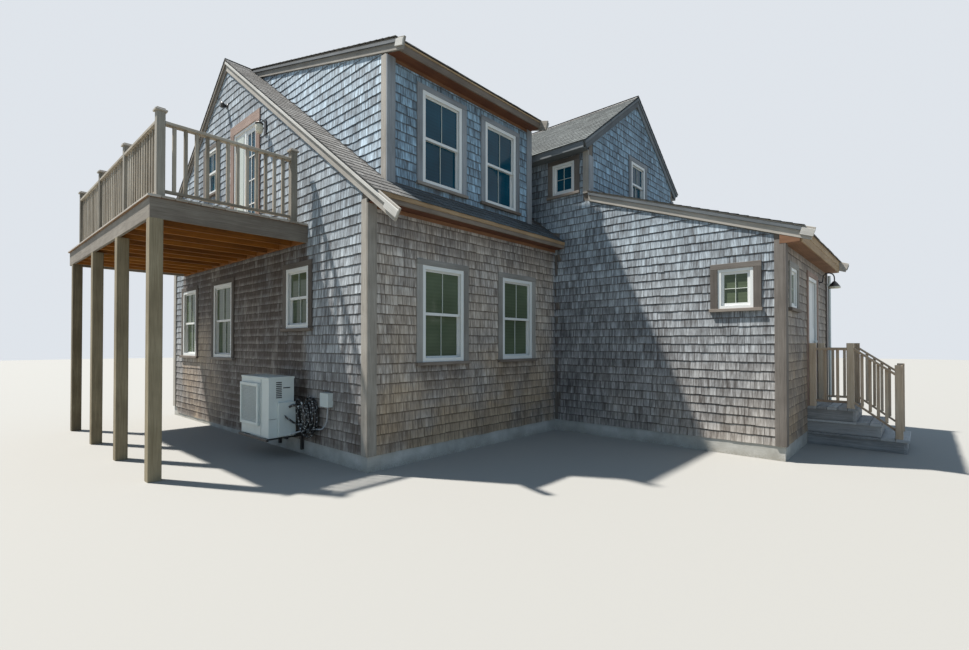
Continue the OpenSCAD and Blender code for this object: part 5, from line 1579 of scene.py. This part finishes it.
@dataclass
class Deck:
    """The raised deck: posts, joists, boards and railings."""

    palette: Palette
    board_w: float = 0.14
    board_gap: float = 0.005
    joist: float = 0.038
    joists: int = 12
    leg: float = 0.14
    post: float = 0.09
    rail_t: float = 0.036
    baluster: float = 0.038
    rails: tuple[Pair, Pair] = ((0.882, 0.09), (0.072, 0.038))
    baluster_ends: Pair = (0.088, 0.866)
    pitch: float = 0.119
    rail_ys: tuple[float, ...] = (1.575, 3.11, 4.68, 6.30)
    post_ys: tuple[float, ...] = (1.58, 3.14, 4.75, 6.51)
    rail_in: float = 0.063
    wall_x: float = -0.185
    cap_foot: float = 0.042
    cap_step: float = 0.020
    cap_out: float = 0.018

    def frame(self) -> None:
        """Makes posts, rim and joists."""
        (x0, y0, z0), (x1, y1, z1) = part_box("deck_rim")
        posts, rim, inner = BoardStack(52, 0.006), BoardStack(53), BoardStack(54, 0.002)
        for y in self.post_ys:
            posts.box((x0, y - self.leg / 2, 0), (x0 + self.leg, y + self.leg / 2, z0), Run.Z)
        j = self.joist
        rim.box((x0, y0, z0), (x1, y0 + j, z1), Run.X)
        rim.box((x0, y1 - j, z0), (x1, y1, z1), Run.X)
        rim.box((x0, y0 + j, z0), (x0 + j, y1 - j, z1), Run.Y)
        step = (y1 - y0 - j) / (self.joists + 1)
        for k in range(1, self.joists + 1):
            inner.box((x0 + j, y0 + k * step, z0), (x1 - j, y0 + k * step + j, z1), Run.X)
        inner.box((x1 - j, y0 + j, z0), (x1, y1 - j, z1), Run.Y)
        posts.make("deck_post_timbers", self.palette["post"], "deck_wood", ("deck_posts",))
        rim.make("deck_rim_boards", self.palette["rim"], "deck_wood", ("deck_rim",))
        inner.make("deck_joist_boards", self.palette["under"], "deck_wood", ("deck_joists",))

    def boards(self) -> None:
        """Lays the walking boards, running north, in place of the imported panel."""
        (x0, y0, z0), (x1, y1, z1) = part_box("deck_boards")
        stack = BoardStack(51, 0.005)
        count = round((x1 - x0 + self.board_gap) / (self.board_w + self.board_gap))
        pitch = (x1 - x0 + self.board_gap) / count
        for k in range(count):
            x = x0 + k * pitch
            stack.box((x, y0, z0), (x + pitch - self.board_gap, y1, z1), Run.Y)
        stack.make("deck_walk_boards", self.palette["walk"], "deck_wood", ("deck_boards",))

    def bay(self, stack: BoardStack, a: Triple, b: Triple) -> None:
        """Adds rails and balusters between two post faces at deck level.

        Args:
            stack: the stack that takes them.
            a: foot of one post's face.
            b: foot of the other post's face.
        """
        a, b = np.array((a, b), float)
        span = np.linalg.norm(b - a)
        way = (b - a) / span
        side = np.array((-way[1], way[0], 0.0))
        for height, width in self.rails:
            stack.section(a + height * UP, b + height * UP, side, UP, width, self.rail_t)
        count = int(span / self.pitch)
        gap = (span - count * self.baluster) / (count + 1)
        foot, head = self.baluster_ends
        for k in range(count):
            at = a + way * (gap * (k + 1) + self.baluster * (k + 0.5))
            stack.section(at + foot * UP, at + head * UP, side, way, self.baluster, self.baluster)

    def railings(self) -> None:
        """Makes the rail posts with their caps, and the railing bays."""
        (x, _, z), (_, _, top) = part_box("deck_rail_posts")
        west, wall, ys, h = x + self.rail_in, self.wall_x, self.rail_ys, self.post / 2
        posts, caps, bays = BoardStack(55, 0.005), BoardStack(56, 0.008), BoardStack(57)
        foot, step, wide = top - self.cap_foot, top - self.cap_step, h + self.cap_out
        for x, y in [(west, y) for y in ys] + [(wall, ys[0]), (wall, ys[3])]:
            posts.box((x - h, y - h, z), (x + h, y + h, foot), Run.Z)
            caps.box((x - wide, y - wide, foot), (x + wide, y + wide, step), Run.X)
            caps.box((x - h, y - h, step), (x + h, y + h, top - 0.001), Run.X)
        for y0, y1 in zip(ys[:-1], ys[1:]):
            self.bay(bays, (west, y0 + h, z), (west, y1 - h, z))
        for y in (ys[0], ys[3]):
            self.bay(bays, (west + h, y, z), (wall - h, y, z))
        posts.make("rail_post_timbers", self.palette["rail"], "deck_wood", ("deck_rail_posts",))
        caps.make("rail_post_caps", self.palette["corner"], "deck_wood")
        nodes = ("deck_railing_west", "deck_end_railings")
        bays.make("deck_rail_bays", self.palette["deck"], "deck_wood", nodes)

    def make(self) -> None:
        """Makes the deck's pieces."""
        self.frame()
        self.boards()
        self.railings()


@dataclass
class EntrySteps:
    """The wooden steps at the entry and their railings."""

    plan: Plan
    palette: Palette
    riser: float = 0.20
    tread: float = 0.295
    landing: float = 0.626
    board: float = 0.038
    lip: float = 0.025
    gap: float = 0.006
    post: float = 0.09
    rail: float = 0.09
    rail_t: float = 0.036
    thin: float = 0.038
    sides: Pair = (5.845, 6.755)
    foot_rail: float = 0.82

    def steps(self) -> None:
        """Makes risers, side skirts and treads, the treads as boards with gaps."""
        lo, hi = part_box("entry_steps")
        x0, x1, wall = lo[0] + self.lip, hi[0] - self.lip, self.plan.lean
        skirts, treads = BoardStack(81), BoardStack(82, 0.004)
        for k, (depth, count) in enumerate(((self.tread, 2), (self.tread, 2), (self.landing, 5))):
            y, top = wall - self.landing - (2 - k) * self.tread, (k + 1) * self.riser
            foot, head = top - self.riser, top - self.board
            skirts.box((x0, y, foot), (x1, y + self.board, head), Run.X)
            for x in (x0, x1 - self.board):
                skirts.box((x, y + self.board, foot), (x + self.board, wall, head), Run.Y)
            step = (depth + self.lip + self.gap) / count
            for i in range(count):
                start = y - self.lip + i * step
                treads.box((lo[0], start, head), (hi[0], start + step - self.gap, top), Run.X)
            if k < 2:
                treads.box((lo[0], y + self.tread, head), (hi[0], wall, top - 0.004), Run.X)
        skirts.make("step_skirts", self.palette["step"], "deck_wood", ("entry_steps",))
        treads.make("step_treads", self.palette["step"], "deck_wood")

    def bay(self, stack: BoardStack, x: float, ends: tuple[Pair, Pair], painted_glints: list[Pair],
            drops: Pair) -> None:
        """Adds a handrail, a foot rail under it and balusters.

        Args:
            stack: the stack that takes them.
            x: the railing's middle.
            ends: y and height of the handrail's two ends.
            painted_glints: y and handrail height for each baluster.
            drops: distances of the balusters' feet and heads below the handrail's height.
        """
        across, ahead = np.eye(3)[:2]
        for drop, width in ((0.0, self.rail), (self.foot_rail, self.thin)):
            start, end = (np.array((x, y, z - drop)) for y, z in ends)
            stack.section(start, end, across, UP, width, self.rail_t)
        for y, z in painted_glints:
            foot, head = (np.array((x, y, z - drop)) for drop in drops)
            stack.section(foot, head, across, ahead, self.thin, self.thin)

    def railings(self) -> None:
        """Makes each side's posts and two bays, a level one on the landing and a sloping one below it."""
        rails, posts = BoardStack(83), BoardStack(84, 0.005)
        floor, h = 3 * self.riser, self.post / 2
        edge = self.plan.lean - self.landing
        y_wall, y_land, y_new = self.plan.lean - 0.075, edge + 0.067, edge - 2 * self.tread + 0.09
        level, low, high = floor + 0.912, self.riser + 0.93 + 0.018, floor + 0.93 - 0.018
        a, b = y_new + h, y_land - h
        flat = [(y_land + k * (y_wall - y_land) / 3, level) for k in (1, 2)]
        sloping = [(a + k * (b - a) / 5, low + (high - low) * k / 5) for k in range(1, 5)]
        painted_glints = ((y_wall, floor, 1.005), (y_land, floor, 1.005), (y_new, self.riser, 1.08))
        for x in self.sides:
            for y, foot, height in painted_glints:
                posts.box((x - h, y - h, foot), (x + h, y + h, foot + height), Run.Z)
            self.bay(rails, x, ((y_land + h, level), (y_wall - h, level)), flat, (0.802, 0.018))
            self.bay(rails, x, ((a, low), (b, high)), sloping, (0.80, 0.012))
        nodes = ("entry_railing_left", "entry_railing_right")
        posts.make("step_posts", self.palette["baluster"], "deck_wood", nodes)
        rails.make("step_rails", self.palette["baluster"], "deck_wood")

    def make(self) -> None:
        """Makes the steps and railings."""
        self.steps()
        self.railings()


def ring_faces(count: int, sides: int) -> list[Array]:
    """Faces of a closed surface made of rings of points, one ring after the other.

    Args:
        count: how many rings there are.
        sides: points in a ring.

    Returns:
        The four-cornered faces between the rings, and the two end faces.
    """
    i, j = np.meshgrid(np.arange(count - 1), np.arange(sides), indexing="ij")
    k = (j + 1) % sides
    quads = np.stack((i * sides + j, i * sides + k, (i + 1) * sides + k, (i + 1) * sides + j), -1)
    return [quads.reshape(-1, 4), np.stack((np.arange(sides)[::-1], (count - 1) * sides + np.arange(sides)))]


def tube(path: Array, radius: float, sides: int = 10) -> Shape:
    """A closed tube round a path: rings square to the path, each point at centre + r (cos a u + sin a v).

    Args:
        path: points of shape (n, 3).
        radius: the tube's radius.
        sides: points in a ring.

    Returns:
        Points and faces.
    """
    ahead = np.gradient(path, axis=0)
    ahead /= np.linalg.norm(ahead, axis=1)[:, None]
    u = np.cross(ahead, (0.31, 0.17, 0.93))
    u /= np.linalg.norm(u, axis=1)[:, None]
    v = np.cross(ahead, u)
    a = np.linspace(0, 2 * math.pi, sides + 1)[:-1, None]
    points = path[:, None] + radius * (np.cos(a) * u[:, None] + np.sin(a) * v[:, None])
    return points.reshape(-1, 3), ring_faces(len(path), sides)


def smooth_path(corners: list[Triple], count: int = 40) -> Array:
    """A soft curve through corner points: Catmull-Rom pieces, c(t) = weights(t) times four neighbours.

    Args:
        corners: the points.
        count: points in the whole curve.

    Returns:
        An array of shape (count, 3).
    """
    p = np.array([corners[0], *corners, corners[-1]], float)
    t = np.linspace(0, len(corners) - 1 - 1e-6, count)
    i = t.astype(int)
    f = (t - i)[:, None]
    a, b, c, d = (p[i + step] for step in range(4))
    return b + 0.5 * f * (c - a + f * (2 * a - 5 * b + 4 * c - d + f * (3 * (b - c) + d - a)))


def lathe(profile: list[Pair], centre: Triple, axis: Run, sides: int = 32) -> Shape:
    """A closed surface turned round an axis: each point is centre + h axis + r (cos a, sin a).

    Args:
        profile: pairs of height and radius, the first and the last on the axis.
        centre: the point where height is zero.
        axis: the axis.
        sides: points in a ring.

    Returns:
        Points and faces.
    """
    height, radius = np.array(profile, float).T[..., None]
    radius = np.maximum(radius, 1e-5)
    a = np.linspace(0, 2 * math.pi, sides + 1)[:-1]
    points = np.zeros((len(profile), sides, 3))
    for step, values in enumerate((height, radius * np.cos(a), radius * np.sin(a))):
        points[..., (axis.value + step) % 3] = values
    return points.reshape(-1, 3) + np.array(centre), ring_faces(len(profile), sides)


def round_piece(name: str, shapes: list[Shape], material: Material) -> None:
    """Makes one smooth piece of tubes and turned shapes.

    Args:
        name: the piece's name.
        shapes: pairs of points and faces.
        material: the finish.
    """
    faces, start = [], 0
    for points, groups in shapes:
        faces += [group + start for group in groups]
        start += len(points)
    points = np.concatenate([shape[0] for shape in shapes])
    mesh_piece(name, points, faces, material, smooth=True)


@dataclass
class Condenser:
    """The outdoor unit, whose cabinet, service cover and switch box are imported: its grille, lid, rails,
    dark plates, hoses and conduit.
    """

    palette: Palette
    fan_side: float = 0.315
    fan_up: float = 0.44
    wires: int = 27
    wire: float = 0.002
    mesh: float = 0.25
    reach: float = 0.26
    frame: float = 0.275
    frame_w: float = 0.022
    vents: int = 9
    coil_y: float = 1.275
    coil_z: float = 0.575

    def fan(self) -> None:
        """Makes the wire guard in front of the fan, with its border and the screen behind it."""
        lo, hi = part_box("condenser")
        x, y, z = lo[0], hi[1] - self.fan_side, lo[2] + self.fan_up
        guard, border, screen = BoardStack(91, 0.001), BoardStack(94, 0.004), BoardStack(95, 0.001)
        w, r = self.wire, self.reach
        for c in np.linspace(-self.mesh, self.mesh, self.wires):
            guard.box((x - 0.012, y + c - w, z - r), (x - 0.008, y + c + w, z + r), Run.Z)
            guard.box((x - 0.014, y - r, z + c - w), (x - 0.011, y + r, z + c + w), Run.Y)
        w, inner, outer = self.frame_w, self.frame - self.frame_w, self.frame + self.frame_w
        for c in (-self.frame, self.frame):
            border.box((x - 0.022, y + c - w, z - inner), (x - 0.001, y + c + w, z + inner), Run.Z)
            border.box((x - 0.022, y - outer, z + c - w), (x - 0.001, y + outer, z + c + w), Run.Y)
        screen.box((x - 0.006, y - r, z - r), (x - 0.002, y + r, z + r), Run.Z)
        border.make("condenser_border", self.palette["enamel"], "cabinet_paint")
        guard.make("condenser_guard", self.palette["enamel"], "cabinet_paint")
        screen.make("condenser_screen", self.palette["mesh"], "cabinet_paint")

    def cabinet(self) -> None:
        """Makes the bars under the cabinet, the lid, and one dark piece of the seam and of painted shade in
        the vent slots and the grip.
        """
        lo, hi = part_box("condenser")
        rails, lid, vents = BoardStack(96), BoardStack(92, 0.006), BoardStack(93, 0.001)
        for x in (lo[0] - 0.036, lo[0] + 0.24):
            rails.box((x, lo[1] + 0.02, lo[2] - 0.034), (x + 0.034, hi[1] - 0.005, lo[2] - 0.002), Run.Y)
        x, y = lo[0] + 0.012, lo[1] + 0.055
        lid.box((x - 0.006, y - 0.006, hi[2] - 0.022), (hi[0] + 0.006, hi[1] + 0.006, hi[2] + 0.005), Run.Y)
        # dark plates: painted shade inside the vent slots and the grip, and a dark seam
        back, front = y - 0.003, y + 0.001
        for k in range(self.vents):
            z = hi[2] - 0.07 - k * 0.026
            vents.box((x + 0.10, back, z - 0.007), (x + 0.18, front, z + 0.007), Run.X)
        vents.box((x + 0.20, back, hi[2] - 0.155), (x + 0.30, front, hi[2] - 0.140), Run.X)
        vents.box((x, back, lo[2] + 0.255), (x + 0.11, front, lo[2] + 0.259), Run.X)
        vents.box((x - 0.003, y + 0.235, lo[2] + 0.01), (x + 0.001, y + 0.238, hi[2] - 0.03), Run.Z)
        rails.make("condenser_rails", self.palette["black"], "dark_metal")
        lid.make("condenser_lid", self.palette["enamel"], "cabinet_paint")
        vents.make("condenser_vents", self.palette["black"], "cabinet_paint")

    def coil(self, turns: float, size: float, x: float, start: float) -> Array:
        """A loosely wound line: an upright circle whose radius, middle and distance from the wall sway.

        Args:
            turns: how many turns it makes.
            size: the middle radius.
            x: the middle distance from the wall.
            start: the first angle.

        Returns:
            Points along the line.
        """
        turn = np.linspace(start, start + 2 * math.pi * turns, int(44 * turns))
        radius = size * (1 + 0.16 * np.sin(turn * 0.37) + 0.07 * np.sin(turn * 1.7))
        lean = 0.10 * np.sin(turn * 0.23 + start)
        out = x + 0.026 * np.sin(turn * 0.5) + 0.12 * radius * np.sin(turn + start)
        along = self.coil_y + radius * np.cos(turn) * 0.86 + lean * 0.25
        return np.stack((out, along, self.coil_z + radius * np.sin(turn) * 1.25 + lean * 0.4), 1)

    def hoses(self) -> None:
        """Makes the coiled lines by the wall, the lines to the cover and the conduit to the switch box."""
        coils = (
            (5.3, 0.168, -0.075, 0.0, 0.013),
            (4.2, 0.125, -0.125, 1.0, 0.012),
            (3.3, 0.085, -0.165, 2.0, 0.013),
            (3.1, 0.150, -0.185, 3.0, 0.011),
        )
        loop = [
            (-0.30, 1.43, 0.72), (-0.24, 1.40, 0.74), (-0.16, 1.36, 0.70),
            (-0.10, 1.36, 0.60), (-0.06, 1.40, 0.50), (-0.02, 1.41, 0.46),
        ]
        second = [
            (-0.36, 1.43, 0.60), (-0.33, 1.37, 0.56), (-0.22, 1.34, 0.48),
            (-0.12, 1.30, 0.50), (-0.05, 1.27, 0.60), (-0.02, 1.27, 0.66),
        ]
        conduit = [
            (-0.045, 0.86, 0.75), (-0.05, 0.85, 0.66), (-0.055, 0.87, 0.54), (-0.06, 0.97, 0.44),
            (-0.08, 1.12, 0.42), (-0.14, 1.28, 0.40), (-0.24, 1.42, 0.35), (-0.30, 1.50, 0.32),
        ]
        lines = [tube(self.coil(*row), radius) for *row, radius in coils]
        lines += [tube(smooth_path(loop), 0.016), tube(smooth_path(second), 0.014)]
        round_piece("condenser_lines", lines, self.palette["hose"])
        round_piece("condenser_conduit", [tube(smooth_path(conduit, 60), 0.010)], self.palette["grey"])

    def make(self) -> None:
        """Makes the cabinet's dress, the fan, the hoses and the conduit."""
        self.fan()
        self.cabinet()
        self.hoses()


@dataclass(frozen=True)
class WallLights:
    """The lantern by the upper door, the lamp under the ridge and the bent light by the entry."""

    plan: Plan
    palette: Palette
    lantern_gap: float = 0.82
    lantern_drop: float = 0.686
    lantern_out: float = 0.115

    def lantern(self) -> Triple:
        """The middle of the lantern's foot, beside the door and under the slope."""
        lo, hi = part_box("deck_door")
        y = (lo[1] + hi[1]) / 2 - self.lantern_gap
        return (self.plan.west - self.lantern_out, y, self.plan.main_s.z(y) - self.lantern_drop)

    def make(self) -> None:
        """Makes the lamps: black metal in one piece and pale glass in another."""
        p = self.plan
        lo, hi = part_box("wall_lights")
        top = x, y, z = self.lantern()
        plate = BoardStack(81)
        plate.box((p.west - 0.024, y - 0.034, z + 0.01), (p.west, y + 0.034, z + 0.235), Run.Z)
        plate.make("lantern_plate", self.palette["black"], "dark_metal", ("wall_lights",))
        flood = (p.west, hi[1] - 0.06, hi[2] - 0.06)
        bent = bx, by, bz = hi[0] - 0.16, lo[1] + 0.13, lo[2]
        roof = [(0.15, 0), (0.15, 0.063), (0.16, 0.063), (0.168, 0.03), (0.195, 0.014), (0.195, 0)]
        horn = [(-0.12, 0), (-0.12, 0.05), (-0.085, 0.052), (-0.05, 0.03), (-0.03, 0.028), (-0.03, 0)]
        hood = [(0.034, 0), (0.034, 0.084), (0.05, 0.078), (0.09, 0.05), (0.125, 0.022), (0.125, 0)]
        metal = [
            lathe(roof, top, Run.Z),
            lathe(horn, flood, Run.X),
            lathe([(-0.012, 0), (-0.012, 0.048), (0.0, 0.048), (0.0, 0)], flood, Run.X),
            lathe(hood, bent, Run.Z),
            lathe([(-0.012, 0), (-0.012, 0.05), (0.0, 0.05), (0.0, 0)], (bx, p.lean, bz + 0.12), Run.Y),
        ]
        glass = [(0, 0), (0, 0.036), (0.03, 0.052), (0.10, 0.060), (0.135, 0.052), (0.15, 0.04), (0.15, 0)]
        pane = [(0, 0), (0, 0.094), (0.034, 0.090), (0.034, 0)]
        hook = [(x, y, z + 0.19), (x, y, z + 0.225), (x + 0.05, y, z + 0.232), (p.west - 0.02, y, z + 0.20)]
        stem = [(p.west - 0.01, *flood[1:]), (p.west - 0.03, *flood[1:])]
        neck = [
            (bx, p.lean, bz + 0.12), (bx, p.lean - 0.055, bz + 0.13), (bx, p.lean - 0.07, bz + 0.23),
            (bx, p.lean - 0.13, bz + 0.28), (bx, by + 0.03, bz + 0.26), (bx, by, bz + 0.2),
            (bx, by, bz + 0.09),
        ]
        for path, radius in ((hook, 0.007), (stem, 0.012), (neck, 0.010)):
            metal.append(tube(smooth_path(path, 24), radius))
        round_piece("lamp_metal", metal, self.palette["black"])
        round_piece("lamp_glass", [lathe(glass, top, Run.Z), lathe(pane, bent, Run.Z)], self.palette["lamp"])


@dataclass(frozen=True)
class UpperDoor:
    """The face of the door to the deck: a panel on one leaf and glazing bars on the other."""

    palette: Palette
    foot: float = 0.26
    head: float = 0.13
    stiles: float = 0.14
    bar: float = 0.009
    upright: float = 0.008

    def make(self) -> None:
        """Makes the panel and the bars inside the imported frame."""
        lo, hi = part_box("deck_door")
        low, high = lo[2] + self.foot, hi[2] - self.head
        half = (hi[1] - lo[1] - self.stiles) / 2
        bars, panel = BoardStack(42, 0.002), BoardStack(43, 0.004)
        s0, s1 = lo[1] + 0.085, lo[1] + 0.04 + half - 0.045
        middle = (s0 + s1) / 2
        for z in np.linspace(low, high, 5)[1:4]:
            bars.box((0.008, s0, z - self.bar), (0.021, s1, z + self.bar), Run.Y)
        bars.box((0.008, middle - self.upright, low), (0.021, middle + self.upright, high), Run.Z)
        start = lo[1] + 0.10 + half + 0.055
        panel.box((0.004, start, low - 0.16), (0.014, start + half - 0.11, high + 0.03), Run.Z)
        bars.make("deck_door_bars", self.palette["white"], "white_frame")
        panel.make("deck_door_panel", self.palette["panel"], "white_frame")


@dataclass
class Studio:
    """Floor, light and camera."""

    eye: Triple = (-3.5037, -5.0858, 1.5937)
    yaw: float = 48.04
    pitch: float = 0.641
    lens: float = 18.078
    sensor: float = 36.0
    shift: float = 0.0138
    far: float = 300
    ray: Triple = (0.26, -0.49, -1.0)
    sun_power: float = 9.4
    sun_angle: float = 1.5
    sun_colour: Triple = (1.0, 0.96, 0.90)
    sky: Triple = (0.285, 0.425, 0.59)
    backdrop: Triple = (0.74, 0.78, 0.83)
    ground: Triple = (0.25, 0.245, 0.21)
    paper: Triple = (0.26, 0.255, 0.24)
    floor_x: float = 4
    floor_r: float = 60
    floor_sides: int = 96

    def floor(self) -> None:
        """A wide disc on the ground, a little paler where it is seen than where light bounces off it."""
        angle = np.linspace(0, 2 * math.pi, self.floor_sides + 1)[:-1]
        x, y = self.floor_x + self.floor_r * np.cos(angle), self.floor_r * np.sin(angle)
        mesh = bpy.data.meshes.new("studio_floor")
        mesh.from_pydata(np.stack((x, y, 0 * x), 1).tolist(), [], [list(range(self.floor_sides))])
        g = Finish("studio_floor")
        mesh.materials.append(g.finish(g.mix(self.seen(g), self.ground, self.paper), 0.95))
        add_object("studio_floor", mesh)

    @staticmethod
    def seen(g: Graph) -> Socket:
        """One where a camera, glossy or transmission ray looks, and zero where light only bounces."""
        path = g.node("ShaderNodeLightPath").outputs
        return g.most(path["Is Camera Ray"], path["Is Glossy Ray"], path["Is Transmission Ray"])

    def lights(self) -> None:
        """A high sun from the north-west with soft edges, and an even bluish world."""
        world = bpy.data.worlds.new("studio")
        bpy.context.scene.world = world
        world.use_nodes = True
        g = Graph(world.node_tree)
        g.put(g.tree.nodes["Background"].inputs["Color"], g.mix(self.seen(g), self.sky, self.backdrop))
        data = bpy.data.lights.new("west_sun", "SUN")
        data.energy = self.sun_power
        data.angle = math.radians(self.sun_angle)
        data.color = self.sun_colour
        add_object("west_sun", data).rotation_euler = Vector(self.ray).to_track_quat("-Z", "Y").to_euler()

    def camera(self) -> None:
        """The photograph's view."""
        data = bpy.data.cameras.new("view")
        data.lens = self.lens
        data.sensor_width = self.sensor
        data.shift_y = self.shift
        data.clip_end = self.far
        camera = add_object("view", data)
        camera.location = self.eye
        camera.rotation_euler = (math.radians(90 + self.pitch), 0, math.radians(-self.yaw))
        bpy.context.scene.camera = camera

    def make(self) -> None:
        """Sets the stage."""
        self.floor()
        self.lights()
        self.camera()
        bpy.context.scene.view_settings.view_transform = "Standard"


def dress_frame(palette: Palette) -> None:
    """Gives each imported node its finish: the trim's, or the one that names it.

    Args:
        palette: the house's finishes.
    """
    finishes = {
        "concrete": ("foundation",),
        "floor": ("ground_floor", "upper_floor"),
        "roof": (
            "main_roof_south", "main_roof_north", "dormer_roof", "wing_roof_west", "wing_roof_east",
            "lean_to_roof",
        ),
        "white": ("window_frames", "deck_door", "entry_door_frame", "entry_door"),
        "glass": ("window_glass",),
        "deck": (
            "deck_posts", "deck_rim", "deck_joists", "deck_boards", "deck_rail_posts", "deck_railing_west",
            "deck_end_railings", "entry_steps", "entry_railing_left", "entry_railing_right",
        ),
        "enamel": ("condenser", "wall_boxes"),
        "black": ("condenser_fittings", "wall_lights"),
    }
    chosen = {node: finish for finish, nodes in finishes.items() for node in nodes}
    for node, solid in frame["nodes"].items():
        for slot in solid.material_slots:
            slot.link = "OBJECT"
            slot.material = palette[chosen.get(node, "trim")]


def main() -> None:
    """Builds the pieces in order."""
    logging.basicConfig(level=logging.INFO, format="%(name)s %(message)s")
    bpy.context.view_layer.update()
    Studio().make()
    plan, palette = Plan(), Palette()
    windows = windows_of(plan)
    dress_frame(palette)
    WallShingles(plan, windows, palette).make()
    RoofCovering(plan, palette).make()
    RoofTrim(plan, palette).make()
    WallTrim(plan, windows, palette).make()
    WindowBars(windows, palette).make()
    Deck(palette).make()
    EntrySteps(plan, palette).make()
    Condenser(palette).make()
    WallLights(plan, palette).make()
    UpperDoor(palette).make()
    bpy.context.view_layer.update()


if __name__ == "__main__":
    main()
